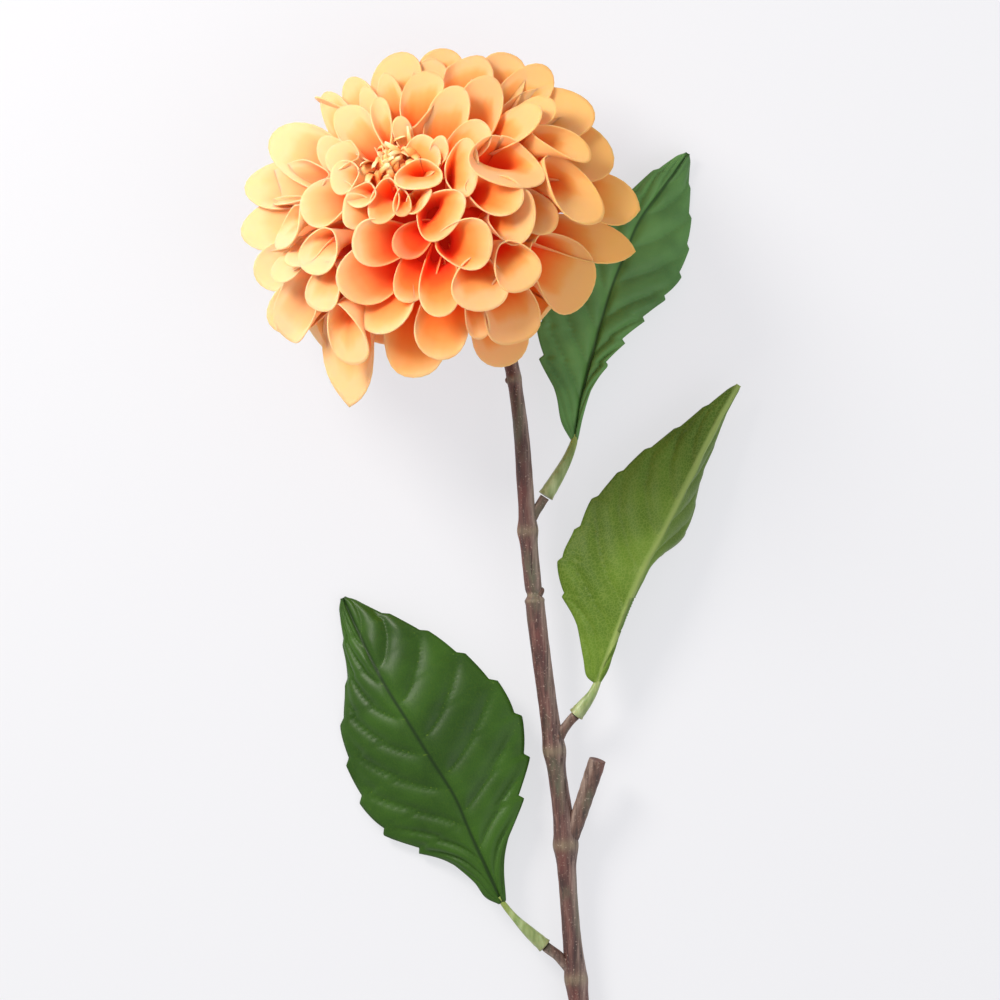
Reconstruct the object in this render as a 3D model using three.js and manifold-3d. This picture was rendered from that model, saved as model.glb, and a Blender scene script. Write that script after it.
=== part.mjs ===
// A cut dahlia lying on a flat surface: one full bloom on a woody stem, with three toothed leaves.
// Millimetres, +Z up from the surface. +X runs across the flower and +Y from the cut end to the bloom.
//
// Every solid here is a stack of closed rings of points, stitched ring to ring and capped at both ends:
// a petal is a cup whose rings run up its outside and down its inside, a leaf is a flat ring per
// station from base to tip, and a stem is a round ring per station.

import * as THREE from 'three';
import { mergeVertices } from 'three/addons/utils/BufferGeometryUtils.js';
import Module from 'manifold-3d';

const wasm = await Module();
wasm.setup();

const at = (x, y, z) => new THREE.Vector3(x, y, z);

// ---- Driving dimensions ----

// The bloom's middle, measured in the flower's own layout, and where that layout sits in the part,
// whose origin is on the surface under the middle of the whole flower.
const BLOOM_MIDDLE = at(0, 0, 41.2);
const LAYOUT_SHIFT = at(-16.8, 109.9, 0);

// The bloom is a flattened ball about an axis that leans back from straight up.
const BLOOM_AXIS = at(-0.424, 0.566, 0.707).normalize();
const BALL_RADIUS = 57;
const BALL_HEIGHT = 36;

// The core that the petals grow from, as [radius, height along the axis], and how far below the bloom's
// middle the point is that they fan out from.
const CORE = [[0, -23], [9, -22], [15, -16], [25, -10], [34, 1], [31, 12], [22, 21], [0, 26]];
const FAN_DROP = 8;
const ROOT_REACH = 12;
const ROOT_FULLNESS = 0.1;

const PETAL_WALL = 0.8;
const PRESS_DEPTH = 1.5;
const FLAT_DEPTH = 0.2;

const EYE_RADIUS = 8.4;
const CALYX_DROP = 21.5;
const CLEARANCE = 0.35;

const LEAF_THICKNESS = 0.9;

// ---- Solids from rings ----

// Rings of equal length, each listed the same way round, make one closed solid. Quads whose ring or
// place in the ring passes `mirrored` are split along their other diagonal, so that the two faces
// of a thin wall are split alike.
function ringSolid(rings, mirrored = () => false) {
  const around = rings[0].length;
  const positions = rings.flat().flatMap((p) => [p.x, p.y, p.z]);
  const faces = [];
  for (let i = 0; i + 1 < rings.length; i++) {
    for (let j = 0; j < around; j++) {
      const [a, b] = [i * around + j, i * around + ((j + 1) % around)];
      const [c, d] = [a + around, b + around];
      if (mirrored(i, j)) faces.push([a, b, c], [b, d, c]);
      else faces.push([a, b, d], [a, d, c]);
    }
  }
  for (const [ring, start] of [[rings[0], 0], [rings.at(-1), (rings.length - 1) * around]]) {
    const middle = ring.reduce((sum, p) => sum.add(p), at(0, 0, 0)).divideScalar(around);
    const hub = positions.length / 3;
    positions.push(middle.x, middle.y, middle.z);
    for (let j = 0; j < around; j++) {
      const [a, b] = [start + j, start + ((j + 1) % around)];
      faces.push(start === 0 ? [hub, b, a] : [hub, a, b]);
    }
  }
  const corner = (n) => at(...positions.slice(3 * n, 3 * n + 3));
  const volume = faces.reduce((sum, [a, b, c]) => sum + corner(a).dot(corner(b).cross(corner(c))), 0);
  const geometry = new THREE.BufferGeometry();
  geometry.setAttribute('position', new THREE.Float32BufferAttribute(positions, 3));
  geometry.setIndex(faces.flatMap(([a, b, c]) => (volume > 0 ? [a, b, c] : [a, c, b])));
  return geometry;
}

// A library solid from a closed geometry, and back.
function solid(geometry) {
  const bare = geometry.clone();
  bare.deleteAttribute('normal');
  bare.deleteAttribute('uv');
  const merged = mergeVertices(bare, 1e-4);
  const vertProperties = new Float32Array(merged.attributes.position.array);
  const triVerts = new Uint32Array(merged.index.array);
  return new wasm.Manifold(new wasm.Mesh({ numProp: 3, vertProperties, triVerts }));
}

function geometryOf(manifold) {
  const { vertProperties, triVerts } = manifold.getMesh();
  const geometry = new THREE.BufferGeometry();
  geometry.setAttribute('position', new THREE.BufferAttribute(new Float32Array(vertProperties), 3));
  geometry.setIndex(new THREE.BufferAttribute(new Uint32Array(triVerts), 1));
  return geometry;
}

// All the solids joined, keeping the outer skin of the biggest piece: hollows that the joining
// sealed are filled, and loose scraps are dropped.
const SHORTEST_EDGE = 0.15;
function joined(solids, cuts = []) {
  let whole = solids.reduce((sum, next) => sum.add(next));
  for (const cut of cuts) whole = whole.subtract(cut);
  const shells = whole.simplify(SHORTEST_EDGE).decompose();
  return shells.reduce((best, next) => (next.volume() > best.volume() ? next : best));
}

// All the room below the surface, near the flower.
const underside = () => new THREE.BoxGeometry(800, 800, 20).translate(0, 0, -10);

// Turns local +Z onto a direction.
const facing = (direction) => new THREE.Quaternion().setFromUnitVectors(at(0, 0, 1), direction);

// A turned form about an axis through `foot`, from [radius, height] pairs.
function turned(profile, foot, direction, sides) {
  const points = profile.map(([radius, height]) => new THREE.Vector2(radius, height));
  const geometry = new THREE.LatheGeometry(points, sides);
  geometry.rotateX(Math.PI / 2);
  geometry.applyQuaternion(facing(direction));
  geometry.translate(foot.x, foot.y, foot.z);
  return geometry;
}

// A round bar along a smooth path. Each stop is [x, y, z, radius].
function bar(stops, sides, steps) {
  const path = new THREE.CatmullRomCurve3(stops.map(([x, y, z]) => at(x, y, z)));
  const girth = new THREE.CatmullRomCurve3(stops.map((stop) => at(stop[3], 0, 0)));
  const frames = path.computeFrenetFrames(steps);
  const rings = [];
  for (let i = 0; i <= steps; i++) {
    const centre = path.getPointAt(i / steps);
    const radius = girth.getPoint(path.getUtoTmapping(i / steps)).x;
    rings.push(Array.from({ length: sides }, (_, j) => {
      const turn = (2 * Math.PI * j) / sides;
      return centre.clone()
        .addScaledVector(frames.normals[i], radius * Math.cos(turn))
        .addScaledVector(frames.binormals[i], radius * Math.sin(turn));
    }));
  }
  return ringSolid(rings);
}

// ---- The bloom ----

// Height of the ball's face over a place beside the bloom's middle. Past the ball's outline it
// gives the height of the nearest part of that outline.
function ballFace(x, y) {
  const lean = BLOOM_AXIS.z;
  const along = BLOOM_AXIS.x * x + BLOOM_AXIS.y * y;
  const [wide, high] = [BALL_RADIUS ** -2, BALL_HEIGHT ** -2];
  const square = (1 - lean ** 2) * wide + lean ** 2 * high;
  const half = along * lean * (high - wide);
  const rest = (x * x + y * y - along ** 2) * wide + along ** 2 * high;
  const inside = half ** 2 - square * (rest - 1);
  const root = inside > 0 ? Math.sqrt(inside) : 0;
  const shrink = inside > 0 ? 1 : Math.sqrt(square / (square * rest - half ** 2));
  return at(x, y, (-half * shrink + root) / square);
}

// Petals that face up, as places on the bloom seen from above, in mm from its middle:
// [x and y where the margins meet, x and y of the lip, width, depth of the meeting point, lift].
const FACE_PETALS = [
  // the clear cups beside the eye
  [0.5, -7, 16.5, -7.5, 14, 1, 2],
  [-4, 5.5, 6, -1, 15.5, 1.5, 1],
  [-11, -5.5, -23, -7.5, 13, 1, 1],
  [1, -11, 1.5, -28, 11.5, 3, 0.5],
  [14, -12, 14, -26, 15, 3, -1],
  [21.5, -7, 27.5, -20, 12.5, 1.5, 0],
  [18.5, 2.5, 29.5, 0.5, 15, 1.5, -1],
  [10, 11.5, 25, 5, 11, 1.5, 1],
  [21.5, 26.5, 22, 11, 20, 4, 1],
  [3.5, 15.5, 11.5, 16, 14.5, 2, 0],
  [-4.5, 18.5, -5, 10, 12, 1.5, 0.5],
  [-8, 8.5, -3.5, 5, 8, 1, 0],
  // above the eye
  [17, 33, 31, 31.5, 10.5, 2, 1],
  [23, 37, 36, 35.5, 10, 2, -1],
  [13, 29.5, 16, 43.5, 12, 3, 0],
  [6.5, 38.5, 12.5, 50.5, 13, 3, -0.5],
  [1.5, 48, 1.5, 54.5, 13.5, 2, -2],
  [-7, 31, -1.5, 50, 13, 4, -1],
  [-8, 31, -2, 44, 10.5, 3, 0.5],
  [-2, 24.5, 6.5, 38.5, 11.5, 2, 1.5],
  [-13.5, 30, -15.5, 44.5, 7.5, 3, 0],
  [-16.5, 39, -13, 53, 15, 3, -2],
  [-18.5, 24.5, -21.5, 40, 7, 2.5, 0],
  [-15, 24, -17.5, 37, 5.5, 2, 0],
  // left of the eye
  [-20, 22, -28, 34, 11, 3, 0],
  [-28, 21.5, -34, 39.5, 9, 3, -0.5],
  [-23, 33, -27, 44.5, 10, 2, -1.5],
  [-27, 42, -37, 39.5, 5, 2, -2.5],
  [-33, 17, -49, 27, 17, 3, -0.5],
  [-46, 15, -57.5, 13, 14, 3, -2],
  [-34, 13, -50.5, 12, 13, 2, 0],
  [-26.5, 9.5, -39, 4, 12.5, 2, 0],
  [-25, 12, -35, 24.5, 9.5, 2.5, 0],
  [-20.5, 4, -27, 2.5, 9, 1.5, 0],
  [-43, 5, -46.5, -7.5, 9.5, 2, 0],
  [-45, 4, -58.5, -1.5, 15, 3, -1.5],
  [-44, -10, -56.5, -16, 14, 3, -2],
  [-33, -2.5, -37, -15, 10, 2, 0.5],
  [-38.5, -1, -43, -12.5, 8, 2, 0],
  [-44.5, -7, -48, -17, 7, 2, 0],
  // below the eye
  [-13, -12, -27, -20.5, 16.5, 4, -0.5],
  [-19, -19, -16, -33.5, 14.5, 3, -1.5],
  [-38.5, -15, -46.5, -33.5, 13, 3, 0],
  [-32.5, -13, -35, -26, 9, 2, 0],
  [-31, -26, -23, -42.5, 9.5, 2, 0.5],
  [-38, -24, -27.5, -53, 14.5, 3, -2],
  [-42, -22, -52, -31.5, 15, 3, -3],
  [-6.5, -12, -7, -48, 19, 5, -2],
  [-3, -5, -10, -25, 11, 3, -5],
  [-2, -1, -12, -9, 9, 3, -6],
  [5, -23.5, 0.5, -41, 15, 3, -1],
  [11.5, -24.5, 14.5, -36.5, 6, 2, -3],
  [21, -29, 23, -44, 16, 3, -2.5],
  [23, -19, 25, -36.5, 15.5, 3, -0.5],
  // right of the eye
  [33, -7, 46.5, -23.5, 18.5, 4, -1],
  [35.5, 0, 59, -8.5, 12, 4, -1.5],
  [46.5, 17, 60, 4.5, 14, 3, -0.5],
  [37.5, 21, 47, 0.5, 11.5, 4, 0.5],
  [26.5, 11.5, 37, -2, 10, 3, -4],
  [30, 28.5, 46.5, 19.5, 7, 2, 0.5],
  [31, 30.5, 53, 22.5, 19, 4, -1],
  [26, 37.5, 45.5, 37.5, 18, 3, -1.5],
  [16, 38, 22.5, 50.5, 15, 3, 0],
  [22, 40, 34, 48, 13, 3, -2],
  // the small ones round the eye
  [-10.5, 9.5, -9.5, 2, 4.5, 1, 0],
  [-15, 13, -16, 0.5, 8, 2, 0],
  [-1.5, 21, 2.5, 23.5, 5, 1, 0],
  [1, 22.5, 16, 28, 10, 2, -0.5],
  [-11, 18, -1, 24, 10.5, 2, -2.5],
  [-9.5, 24.5, -11, 31, 5, 2, 0],
  [-24, 15.5, -30, 12.5, 8, 1.5, 0],
  [-20.5, 11.5, -23.5, 5.5, 6, 1.5, 0],
  [-25, 21, -31, 20, 8, 1.5, 0],
];

// The petals on the ball's far sides stand on a spiral: each is one golden angle on from the last.
const GOLDEN_ANGLE = THREE.MathUtils.degToRad(137.508);
const SPIRAL_COUNT = 42;
const SPIRAL_FROM = Math.cos(THREE.MathUtils.degToRad(30));
const SPIRAL_TO = Math.cos(THREE.MathUtils.degToRad(106));
const BACK_HALF_LENGTH = THREE.MathUtils.degToRad(11);
const BACK_WIDTH = 18;
const BACK_DEPTH = 3;

// Two rows of long petals close the bloom's back, as [angle of the lips from the axis, petals, the
// roots' radius from the axis]. A radius below 0 starts each petal on the axis' far side, so that its
// own side shows right up to the calyx.
const SKIRT_ROWS = [[113, 10, 6], [131, 10, -11]];
const SKIRT_WIDTH = 21;
const SKIRT_FULLNESS = 0.3;
const SKIRT_ROOT_DROP = 16;

// Places that face up more than this have their petals in the list above, unless none of those
// stands within this reach.
const FACE_LIMIT = 0.08;
const LONELY_REACH = 11.6;
// Where the bloom's outline, seen from above, has gaps: x, y and radius.
const NOTCHES = [[-17, -43, 13], [-4, -45, 8], [8, -44, 9]];
// The ball that the petals behind stand on, as a share of the one in front, and in a notch.
const BACK_SCALE = 0.94;
const NOTCH_SCALE = 0.74;
// The angle from the axis beyond which a notch has petals held in under the petals that are seen.
const NOTCH_FROM = THREE.MathUtils.degToRad(85);

// Makes the mouth's widest place as wide as its petal's stated width.
const WIDEST = 1.27;
// The least and greatest power of a petal's opening.
const FLARES = [4, 20];
// How much wider than stated a mouth may be made so that it looks its stated width from above.
const MOST_WIDENING = 1.6;
// The floor's depth under the mouth's middle, as a share of the mouth's length.
const FLOOR_DEPTH = 0.3;
// The petals lie over each other outwards from here, seen from above.
const INMOST = [-9, 8];
// How far a rim is tucked in under a floor, and the deepest that it puts a closed point.
const SINK_ROOM = 0.8;
const MOST_SUNK = 15;
// The part of a rim that can be tucked in, from this angle from its lip, under a cup's floor from this
// share of its scale outwards, within this depth.
const TUCK_FROM = THREE.MathUtils.degToRad(115);
const TUCK_POINTS = 8;
const LEAST_TUCKED = 0.3;
const DEEPEST = 16;

// A repeatable draw from 0 to 1 for a whole number.
const draw = (n) => {
  const wide = Math.sin(n * 12.9898 + 4.1) * 43758.5453;
  return wide - Math.floor(wide);
};

const AXIS_OUT = at(0.424, -0.566, 0.707).normalize();
const AXIS_SIDE = at(0, 0, 0).crossVectors(BLOOM_AXIS, AXIS_OUT).normalize();

// A place on the ball by its angle from the axis and its turn round the axis.
const onBall = (angle, turn) => at(0, 0, 0)
  .addScaledVector(BLOOM_AXIS, BALL_HEIGHT * Math.cos(angle))
  .addScaledVector(AXIS_OUT, BALL_RADIUS * Math.sin(angle) * Math.cos(turn))
  .addScaledVector(AXIS_SIDE, BALL_RADIUS * Math.sin(angle) * Math.sin(turn));

// How far the ball faces up at that place: 1 straight up, 0 on the outline, below 0 behind.
const facesUp = (angle, turn) => at(0, 0, 0)
  .addScaledVector(BLOOM_AXIS, Math.cos(angle) / BALL_HEIGHT)
  .addScaledVector(AXIS_OUT, (Math.sin(angle) * Math.cos(turn)) / BALL_RADIUS)
  .addScaledVector(AXIS_SIDE, (Math.sin(angle) * Math.sin(turn)) / BALL_RADIUS)
  .normalize().z;

const fanPoint = BLOOM_AXIS.clone().multiplyScalar(-FAN_DROP);

// How much wider a mouth is made so that it looks its stated width from above: one over the part of
// the direction across it that is square, in plan, to its length.
function seenWidening(across, long) {
  const plan = long.clone().setZ(0).normalize();
  const square = Math.abs(across.x * plan.y - across.y * plan.x);
  return Math.min(1 / Math.max(square, 1e-6), MOST_WIDENING);
}

// A petal's frame: the middle of its mouth, its root, half of its mouth's length and width, its rise
// from root to mouth, how full it is near its root, and its flare, the power of its opening. The mouth
// runs from the closed point, sunk by its depth, to the lip.
function petalFrame({ meet, lip, width, depth, lift, seen = false, foot, fullness = ROOT_FULLNESS }) {
  const outward = meet.clone().add(lip).multiplyScalar(0.5).sub(fanPoint).normalize();
  const closed = meet.clone().addScaledVector(outward, lift - depth);
  const tip = lip.clone().addScaledVector(outward, lift);
  const middle = closed.clone().add(tip).multiplyScalar(0.5);
  const root = foot ?? closed.clone().sub(fanPoint).setLength(ROOT_REACH).add(fanPoint);
  const long = tip.clone().sub(closed).multiplyScalar(0.5);
  const rise = middle.clone().sub(root);
  const across = rise.clone().cross(long).normalize();
  across.multiplyScalar((width / 2) * (seen ? seenWidening(across, long) : 1));
  const floor = (FLOOR_DEPTH * 2 * long.length()) / rise.length();
  const flare = THREE.MathUtils.clamp(1 + 1 / floor, ...FLARES);
  return { middle, root, long, across, rise, fullness, flare, seen };
}

// How far a petal's throat has opened, along and across, just before its flare: shares of its mouth.
const THROAT_SHARE = 0.22;
const BREADTH_SHARE = 0.4;
const pinch = (round) => (Math.cos(round / 2) ** 2 * 0.5 + 0.5) * WIDEST;

// How far below a cup's mouth its floor is at a point of the cup's own frame: X half lengths ahead of
// the mouth's middle and Y half widths aside. The mouth, scaled about its closed point, passes through
// that point at some share of its size. Gives -1 where the point is outside what counts.
function floorBelow(cup, { x, y, z }) {
  const wide = (0.75 + 0.25 * THREE.MathUtils.clamp(x, -1, 1)) * WIDEST;
  const scale = ((x + 1) ** 2 + (y / wide) ** 2) / (2 * (x + 1));
  if (x <= -1 || scale >= 1 || scale <= LEAST_TUCKED || z <= -DEEPEST) return -1;
  const share = THREE.MathUtils.clamp((scale - THROAT_SHARE) / (1 - THROAT_SHARE), 1e-3, 1);
  return -FLOOR_DEPTH * 2 * cup.frame.long.length() * Math.log(share);
}

// Petals made deeper where their rims would stand in the cup of a petal further in, taken from the
// inmost outwards. Sinking a closed point lowers the rim by (1 - cos) / 2 of that at an angle from the
// lip.
function tucked(places) {
  const start = ballFace(...INMOST);
  const away = ({ meet, lip }) => meet.clone().add(lip).multiplyScalar(0.5).distanceTo(start);
  const order = [...places].sort((a, b) => away(a) - away(b));
  const first = order[0].meet;
  const cups = [];
  const rims = Array.from({ length: TUCK_POINTS * 2 - 1 }, (_, i) => (
    Math.PI + ((Math.PI - TUCK_FROM) * (i + 1 - TUCK_POINTS)) / (TUCK_POINTS - 1)));
  for (const place of order) {
    const outwards = place.lip.distanceTo(first) > place.meet.distanceTo(first);
    for (let pass = 0; pass < 2 && outwards; pass++) {
      const { middle, long, across } = petalFrame(place);
      let lower = 0;
      for (const round of rims) {
        const point = middle.clone()
          .addScaledVector(long, Math.cos(round))
          .addScaledVector(across, Math.sin(round) * pinch(round));
        for (const cup of cups) {
          const own = point.clone().sub(cup.frame.middle).applyMatrix3(cup.inverse);
          const floor = floorBelow(cup, own);
          if (floor < 0) continue;
          lower = Math.max(lower, (own.z + floor + SINK_ROOM) / ((1 - Math.cos(round)) / 2));
        }
      }
      place.depth = Math.max(place.depth, Math.min(place.depth + lower, MOST_SUNK));
    }
    const frame = petalFrame(place);
    const up = frame.rise.clone().normalize();
    const inverse = new THREE.Matrix3().set(
      frame.long.x, frame.across.x, up.x,
      frame.long.y, frame.across.y, up.y,
      frame.long.z, frame.across.z, up.z,
    ).invert();
    cups.push({ frame, inverse });
  }
  return places.map((place) => petalFrame(place));
}

const facePlaces = FACE_PETALS.map(([cx, cy, lx, ly, width, depth, lift]) => (
  { meet: ballFace(cx, cy), lip: ballFace(lx, ly), width, depth, lift, seen: true }));

const hidden = ({ angle, turn }) => facesUp(angle, turn) < FACE_LIMIT;
const beside = ({ angle, turn }) => NOTCHES.every(([x, y, radius]) => (
  onBall(angle, turn).setZ(0).distanceTo(at(x, y, 0)) > radius));
const lonely = ({ angle, turn }) => facePlaces.every(({ meet, lip }) => (
  meet.clone().add(lip).multiplyScalar(0.5).distanceTo(onBall(angle, turn)) > LONELY_REACH));

// The point on the ball behind for a petal whose middle is at that place.
const onBack = (angle, turn, place) => (
  onBall(angle, turn).multiplyScalar(beside(place) ? BACK_SCALE : NOTCH_SCALE));

const sidePlaces = Array.from({ length: SPIRAL_COUNT }, (_, i) => ({
  angle: Math.acos(SPIRAL_FROM + ((SPIRAL_TO - SPIRAL_FROM) * (i + 0.5)) / SPIRAL_COUNT),
  turn: i * GOLDEN_ANGLE,
  sway: 0.12 * (draw(i) - 0.5),
})).filter((place) => (
  hidden(place) || (beside(place) ? lonely(place) : place.angle > NOTCH_FROM)
)).map((place) => ({
  meet: onBack(place.angle - BACK_HALF_LENGTH, place.turn - place.sway, place),
  lip: onBack(place.angle + BACK_HALF_LENGTH, place.turn + place.sway, place),
  width: BACK_WIDTH,
  depth: BACK_DEPTH,
  lift: -1,
}));

const skirtPetals = SKIRT_ROWS.flatMap(([degrees, count, rootRadius], row) => (
  Array.from({ length: count }, (_, i) => ({
    angle: THREE.MathUtils.degToRad(degrees),
    turn: (2 * Math.PI * (i + row / 2)) / count,
  })).filter(hidden).map(({ angle, turn }) => petalFrame({
    meet: onBack(angle - BACK_HALF_LENGTH, turn, { angle, turn }),
    lip: onBack(angle + BACK_HALF_LENGTH / 2, turn, { angle, turn }),
    width: SKIRT_WIDTH,
    depth: BACK_DEPTH,
    lift: 0,
    foot: BLOOM_AXIS.clone().multiplyScalar(-SKIRT_ROOT_DROP)
      .addScaledVector(AXIS_OUT, rootRadius * Math.cos(turn))
      .addScaledVector(AXIS_SIDE, rootRadius * Math.sin(turn)),
    fullness: SKIRT_FULLNESS,
  }))));

// The petal's wall at a share `up` of its height and an angle round it, 0 at the lip and 180 degrees
// where the margins meet. The margins run straight up from the root. The wall opposite them leaves
// that line late, so that a narrow throat opens into a wide spoon.
function petalWall({ root, long, across, rise, fullness, flare }, up, round) {
  const opened = THROAT_SHARE * up + (1 - THROAT_SHARE) * up ** flare;
  const broadened = BREADTH_SHARE * up + (1 - BREADTH_SHARE) * up ** (flare / 2);
  const throat = fullness + (1 - fullness) * opened;
  const breadth = fullness + (1 - fullness) * broadened;
  return root.clone()
    .addScaledVector(rise, up)
    .addScaledVector(long, throat * (1 + Math.cos(round)) - up)
    .addScaledVector(across, breadth * Math.sin(round) * pinch(round));
}

// Petals that would reach below the surface are pressed flat, gently at first, a hair lower than the
// surface, where the whole bloom is cut off level.
function pressed(height) {
  if (height > PRESS_DEPTH) return height;
  if (height < -PRESS_DEPTH) return 0;
  return (height + PRESS_DEPTH) ** 2 / (4 * PRESS_DEPTH);
}

function petalRing(frame, up, columns, side) {
  const step = 1e-3;
  return Array.from({ length: columns }, (_, j) => {
    const round = (2 * Math.PI * j) / columns;
    const here = petalWall(frame, up, round);
    const higher = petalWall(frame, up + step, round).sub(here);
    const further = petalWall(frame, up, round + step).sub(here);
    const out = further.cross(higher).setLength((side * PETAL_WALL) / 2);
    const place = here.add(out).add(BLOOM_MIDDLE);
    const floor = (side > 0 ? 0 : PETAL_WALL) - FLAT_DEPTH;
    place.z = floor + pressed(place.z - floor);
    return place;
  });
}

// A petal's rings run from its root inside the core, by the floor's own height, up to its rim, then
// down into its cup.
const LOWEST_RING_SEEN = 0.4;
const LOWEST_RING_BEHIND = 0.3;
// Points round a petal: the wide ones that face up have more.
const POINTS_ROUND = 5;
const POINTS_ROUND_WIDE = 6;
const WIDE_PETAL = 24;
function petal(frame) {
  const wide = frame.seen && frame.across.length() * 2 > WIDE_PETAL;
  const columns = wide ? POINTS_ROUND_WIDE : POINTS_ROUND;
  const knee = 1 - 1 / (frame.flare - 1);
  const outside = [frame.seen ? LOWEST_RING_SEEN : LOWEST_RING_BEHIND, knee, 1];
  const inside = [1, knee];
  const rings = [
    ...outside.map((up) => petalRing(frame, up, columns, 1)),
    ...inside.map((up) => petalRing(frame, up, columns, -1)),
  ];
  return solid(ringSolid(rings, (i) => i >= outside.length));
}

function bloomPetals() {
  const core = turned(CORE, BLOOM_MIDDLE, BLOOM_AXIS, 12);
  const eyeRoom = turned(
    [[0, EYE_SEAT], [EYE_RADIUS, EYE_SEAT], [EYE_RADIUS + 1.5, 60], [0, 60]],
    BLOOM_MIDDLE, BLOOM_AXIS, 12,
  );
  const calyxRoom = turned(
    [[0, -60], [30, -60], [CALYX_RADIUS + 4, -CALYX_DROP - 6], [CALYX_RADIUS, -CALYX_DROP + CLEARANCE],
      [0, -CALYX_DROP + CLEARANCE]],
    BLOOM_MIDDLE, BLOOM_AXIS, 12,
  );
  const petals = [...tucked([...facePlaces, ...sidePlaces]), ...skirtPetals].map(petal);
  return geometryOf(joined([solid(core), ...petals], [solid(eyeRoom), solid(calyxRoom), solid(underside())]));
}

// The eye: a button with small strips that curl in over it.
const EYE_SEAT = 14;
const STRIP_COUNT = 13;
function bloomCentre() {
  const button = turned(
    [[0, EYE_SEAT + CLEARANCE], [6.6, EYE_SEAT + CLEARANCE], [6.2, 26], [3.5, 30], [0, 31]],
    BLOOM_MIDDLE, BLOOM_AXIS, 10,
  );
  const strips = Array.from({ length: STRIP_COUNT }, (_, i) => {
    const reach = 6.4 * Math.sqrt((i + 0.7) / STRIP_COUNT);
    const turn = i * GOLDEN_ANGLE;
    const out = AXIS_OUT.clone().multiplyScalar(Math.cos(turn)).addScaledVector(AXIS_SIDE, Math.sin(turn));
    const side = BLOOM_AXIS.clone().cross(out);
    const tall = 6.5 + 2 * draw(i + 40);
    const rings = [[0, 0, 1.3], [0.55, 0.9, 1.5], [0.9, 0.6, 1.2], [1, -0.8, 0.6]].map(([up, bend, half]) => {
      const centre = BLOOM_MIDDLE.clone()
        .addScaledVector(BLOOM_AXIS, 28.5 - 0.06 * reach ** 2 + tall * up)
        .addScaledVector(out, reach * 0.86 + bend);
      return [[1, 1], [-1, 1], [-1, -1], [1, -1]].map(([a, b]) => centre.clone()
        .addScaledVector(side, a * half)
        .addScaledVector(out, b * 0.4));
    });
    return solid(ringSolid(rings));
  });
  return geometryOf(joined([solid(button), ...strips]));
}

// The calyx: a shallow cup of bracts between the bloom's back and the stem.
const CALYX_RADIUS = 12;
const CALYX_LENGTH = 9;
const BRACT_COUNT = 8;
function calyx() {
  const cup = turned(
    [[0, -CALYX_DROP - CALYX_LENGTH], [3.4, -CALYX_DROP - CALYX_LENGTH], [6.5, -CALYX_DROP - 6],
      [CALYX_RADIUS - 2.5, -CALYX_DROP - 2], [CALYX_RADIUS - 1.5, -CALYX_DROP], [0, -CALYX_DROP]],
    BLOOM_MIDDLE, BLOOM_AXIS, 16,
  );
  const bracts = Array.from({ length: BRACT_COUNT }, (_, i) => {
    const turn = (2 * Math.PI * i) / BRACT_COUNT;
    const out = AXIS_OUT.clone().multiplyScalar(Math.cos(turn)).addScaledVector(AXIS_SIDE, Math.sin(turn));
    const side = BLOOM_AXIS.clone().cross(out);
    const rings = [[6, -3.2, 2], [10, -2, 3.2], [13, -2.6, 2.4], [16, -5, 0.7]].map(([reach, up, half]) => {
      const centre = BLOOM_MIDDLE.clone()
        .addScaledVector(BLOOM_AXIS, -CALYX_DROP + up)
        .addScaledVector(out, reach);
      return [[1, 1], [-1, 1], [-1, -1], [1, -1]].map(([a, b]) => centre.clone()
        .addScaledVector(side, a * half)
        .addScaledVector(BLOOM_AXIS, b * 0.45));
    });
    return solid(ringSolid(rings));
  });
  return geometryOf(joined([solid(cup), ...bracts]));
}

// ---- Stem ----

// [x, y, z, radius] down the stem, from under the calyx to the cut end.
const NECK = BLOOM_AXIS.clone().multiplyScalar(-CALYX_DROP - CALYX_LENGTH - CLEARANCE).add(BLOOM_MIDDLE);
const BEND = NECK.clone().addScaledVector(BLOOM_AXIS, -3);
const STEM = [
  [NECK.x, NECK.y, NECK.z, 3.1],
  [BEND.x, BEND.y, BEND.z, 2.9],
  [16.9, -24, 15.9, 2.5],
  [20.2, -33, 15.2, 2.25],
  [23, -43.2, 15, 2.2],
  [24.5, -52, 14.8, 2.1],
  [26, -64, 14.5, 2.3],
  [26.9, -76, 14.1, 2.5],
  [27.7, -88, 13.8, 2.6],
  [27.9, -92.5, 13.5, 3],
  [28.3, -97, 13.2, 2.7],
  [29.6, -110, 12.4, 2.5],
  [29.8, -112, 12.3, 2.3],
  [30, -114, 12.2, 2.75],
  [31.5, -127, 11.4, 2.85],
  [34.6, -150, 10, 2.9],
  [35.9, -159, 9.5, 3.3],
  [36.6, -165, 9.1, 2.8],
  [38.4, -178, 8.4, 3],
  [39.4, -188, 7.8, 3.5],
  [39.7, -195, 7.4, 2.9],
  [41.2, -215, 6.2, 2.8],
  [42.6, -228.5, 5.4, 3.3],
  [43.5, -236, 4.8, 3],
  [48.2, -272, 2.7, 3.1],
];
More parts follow.
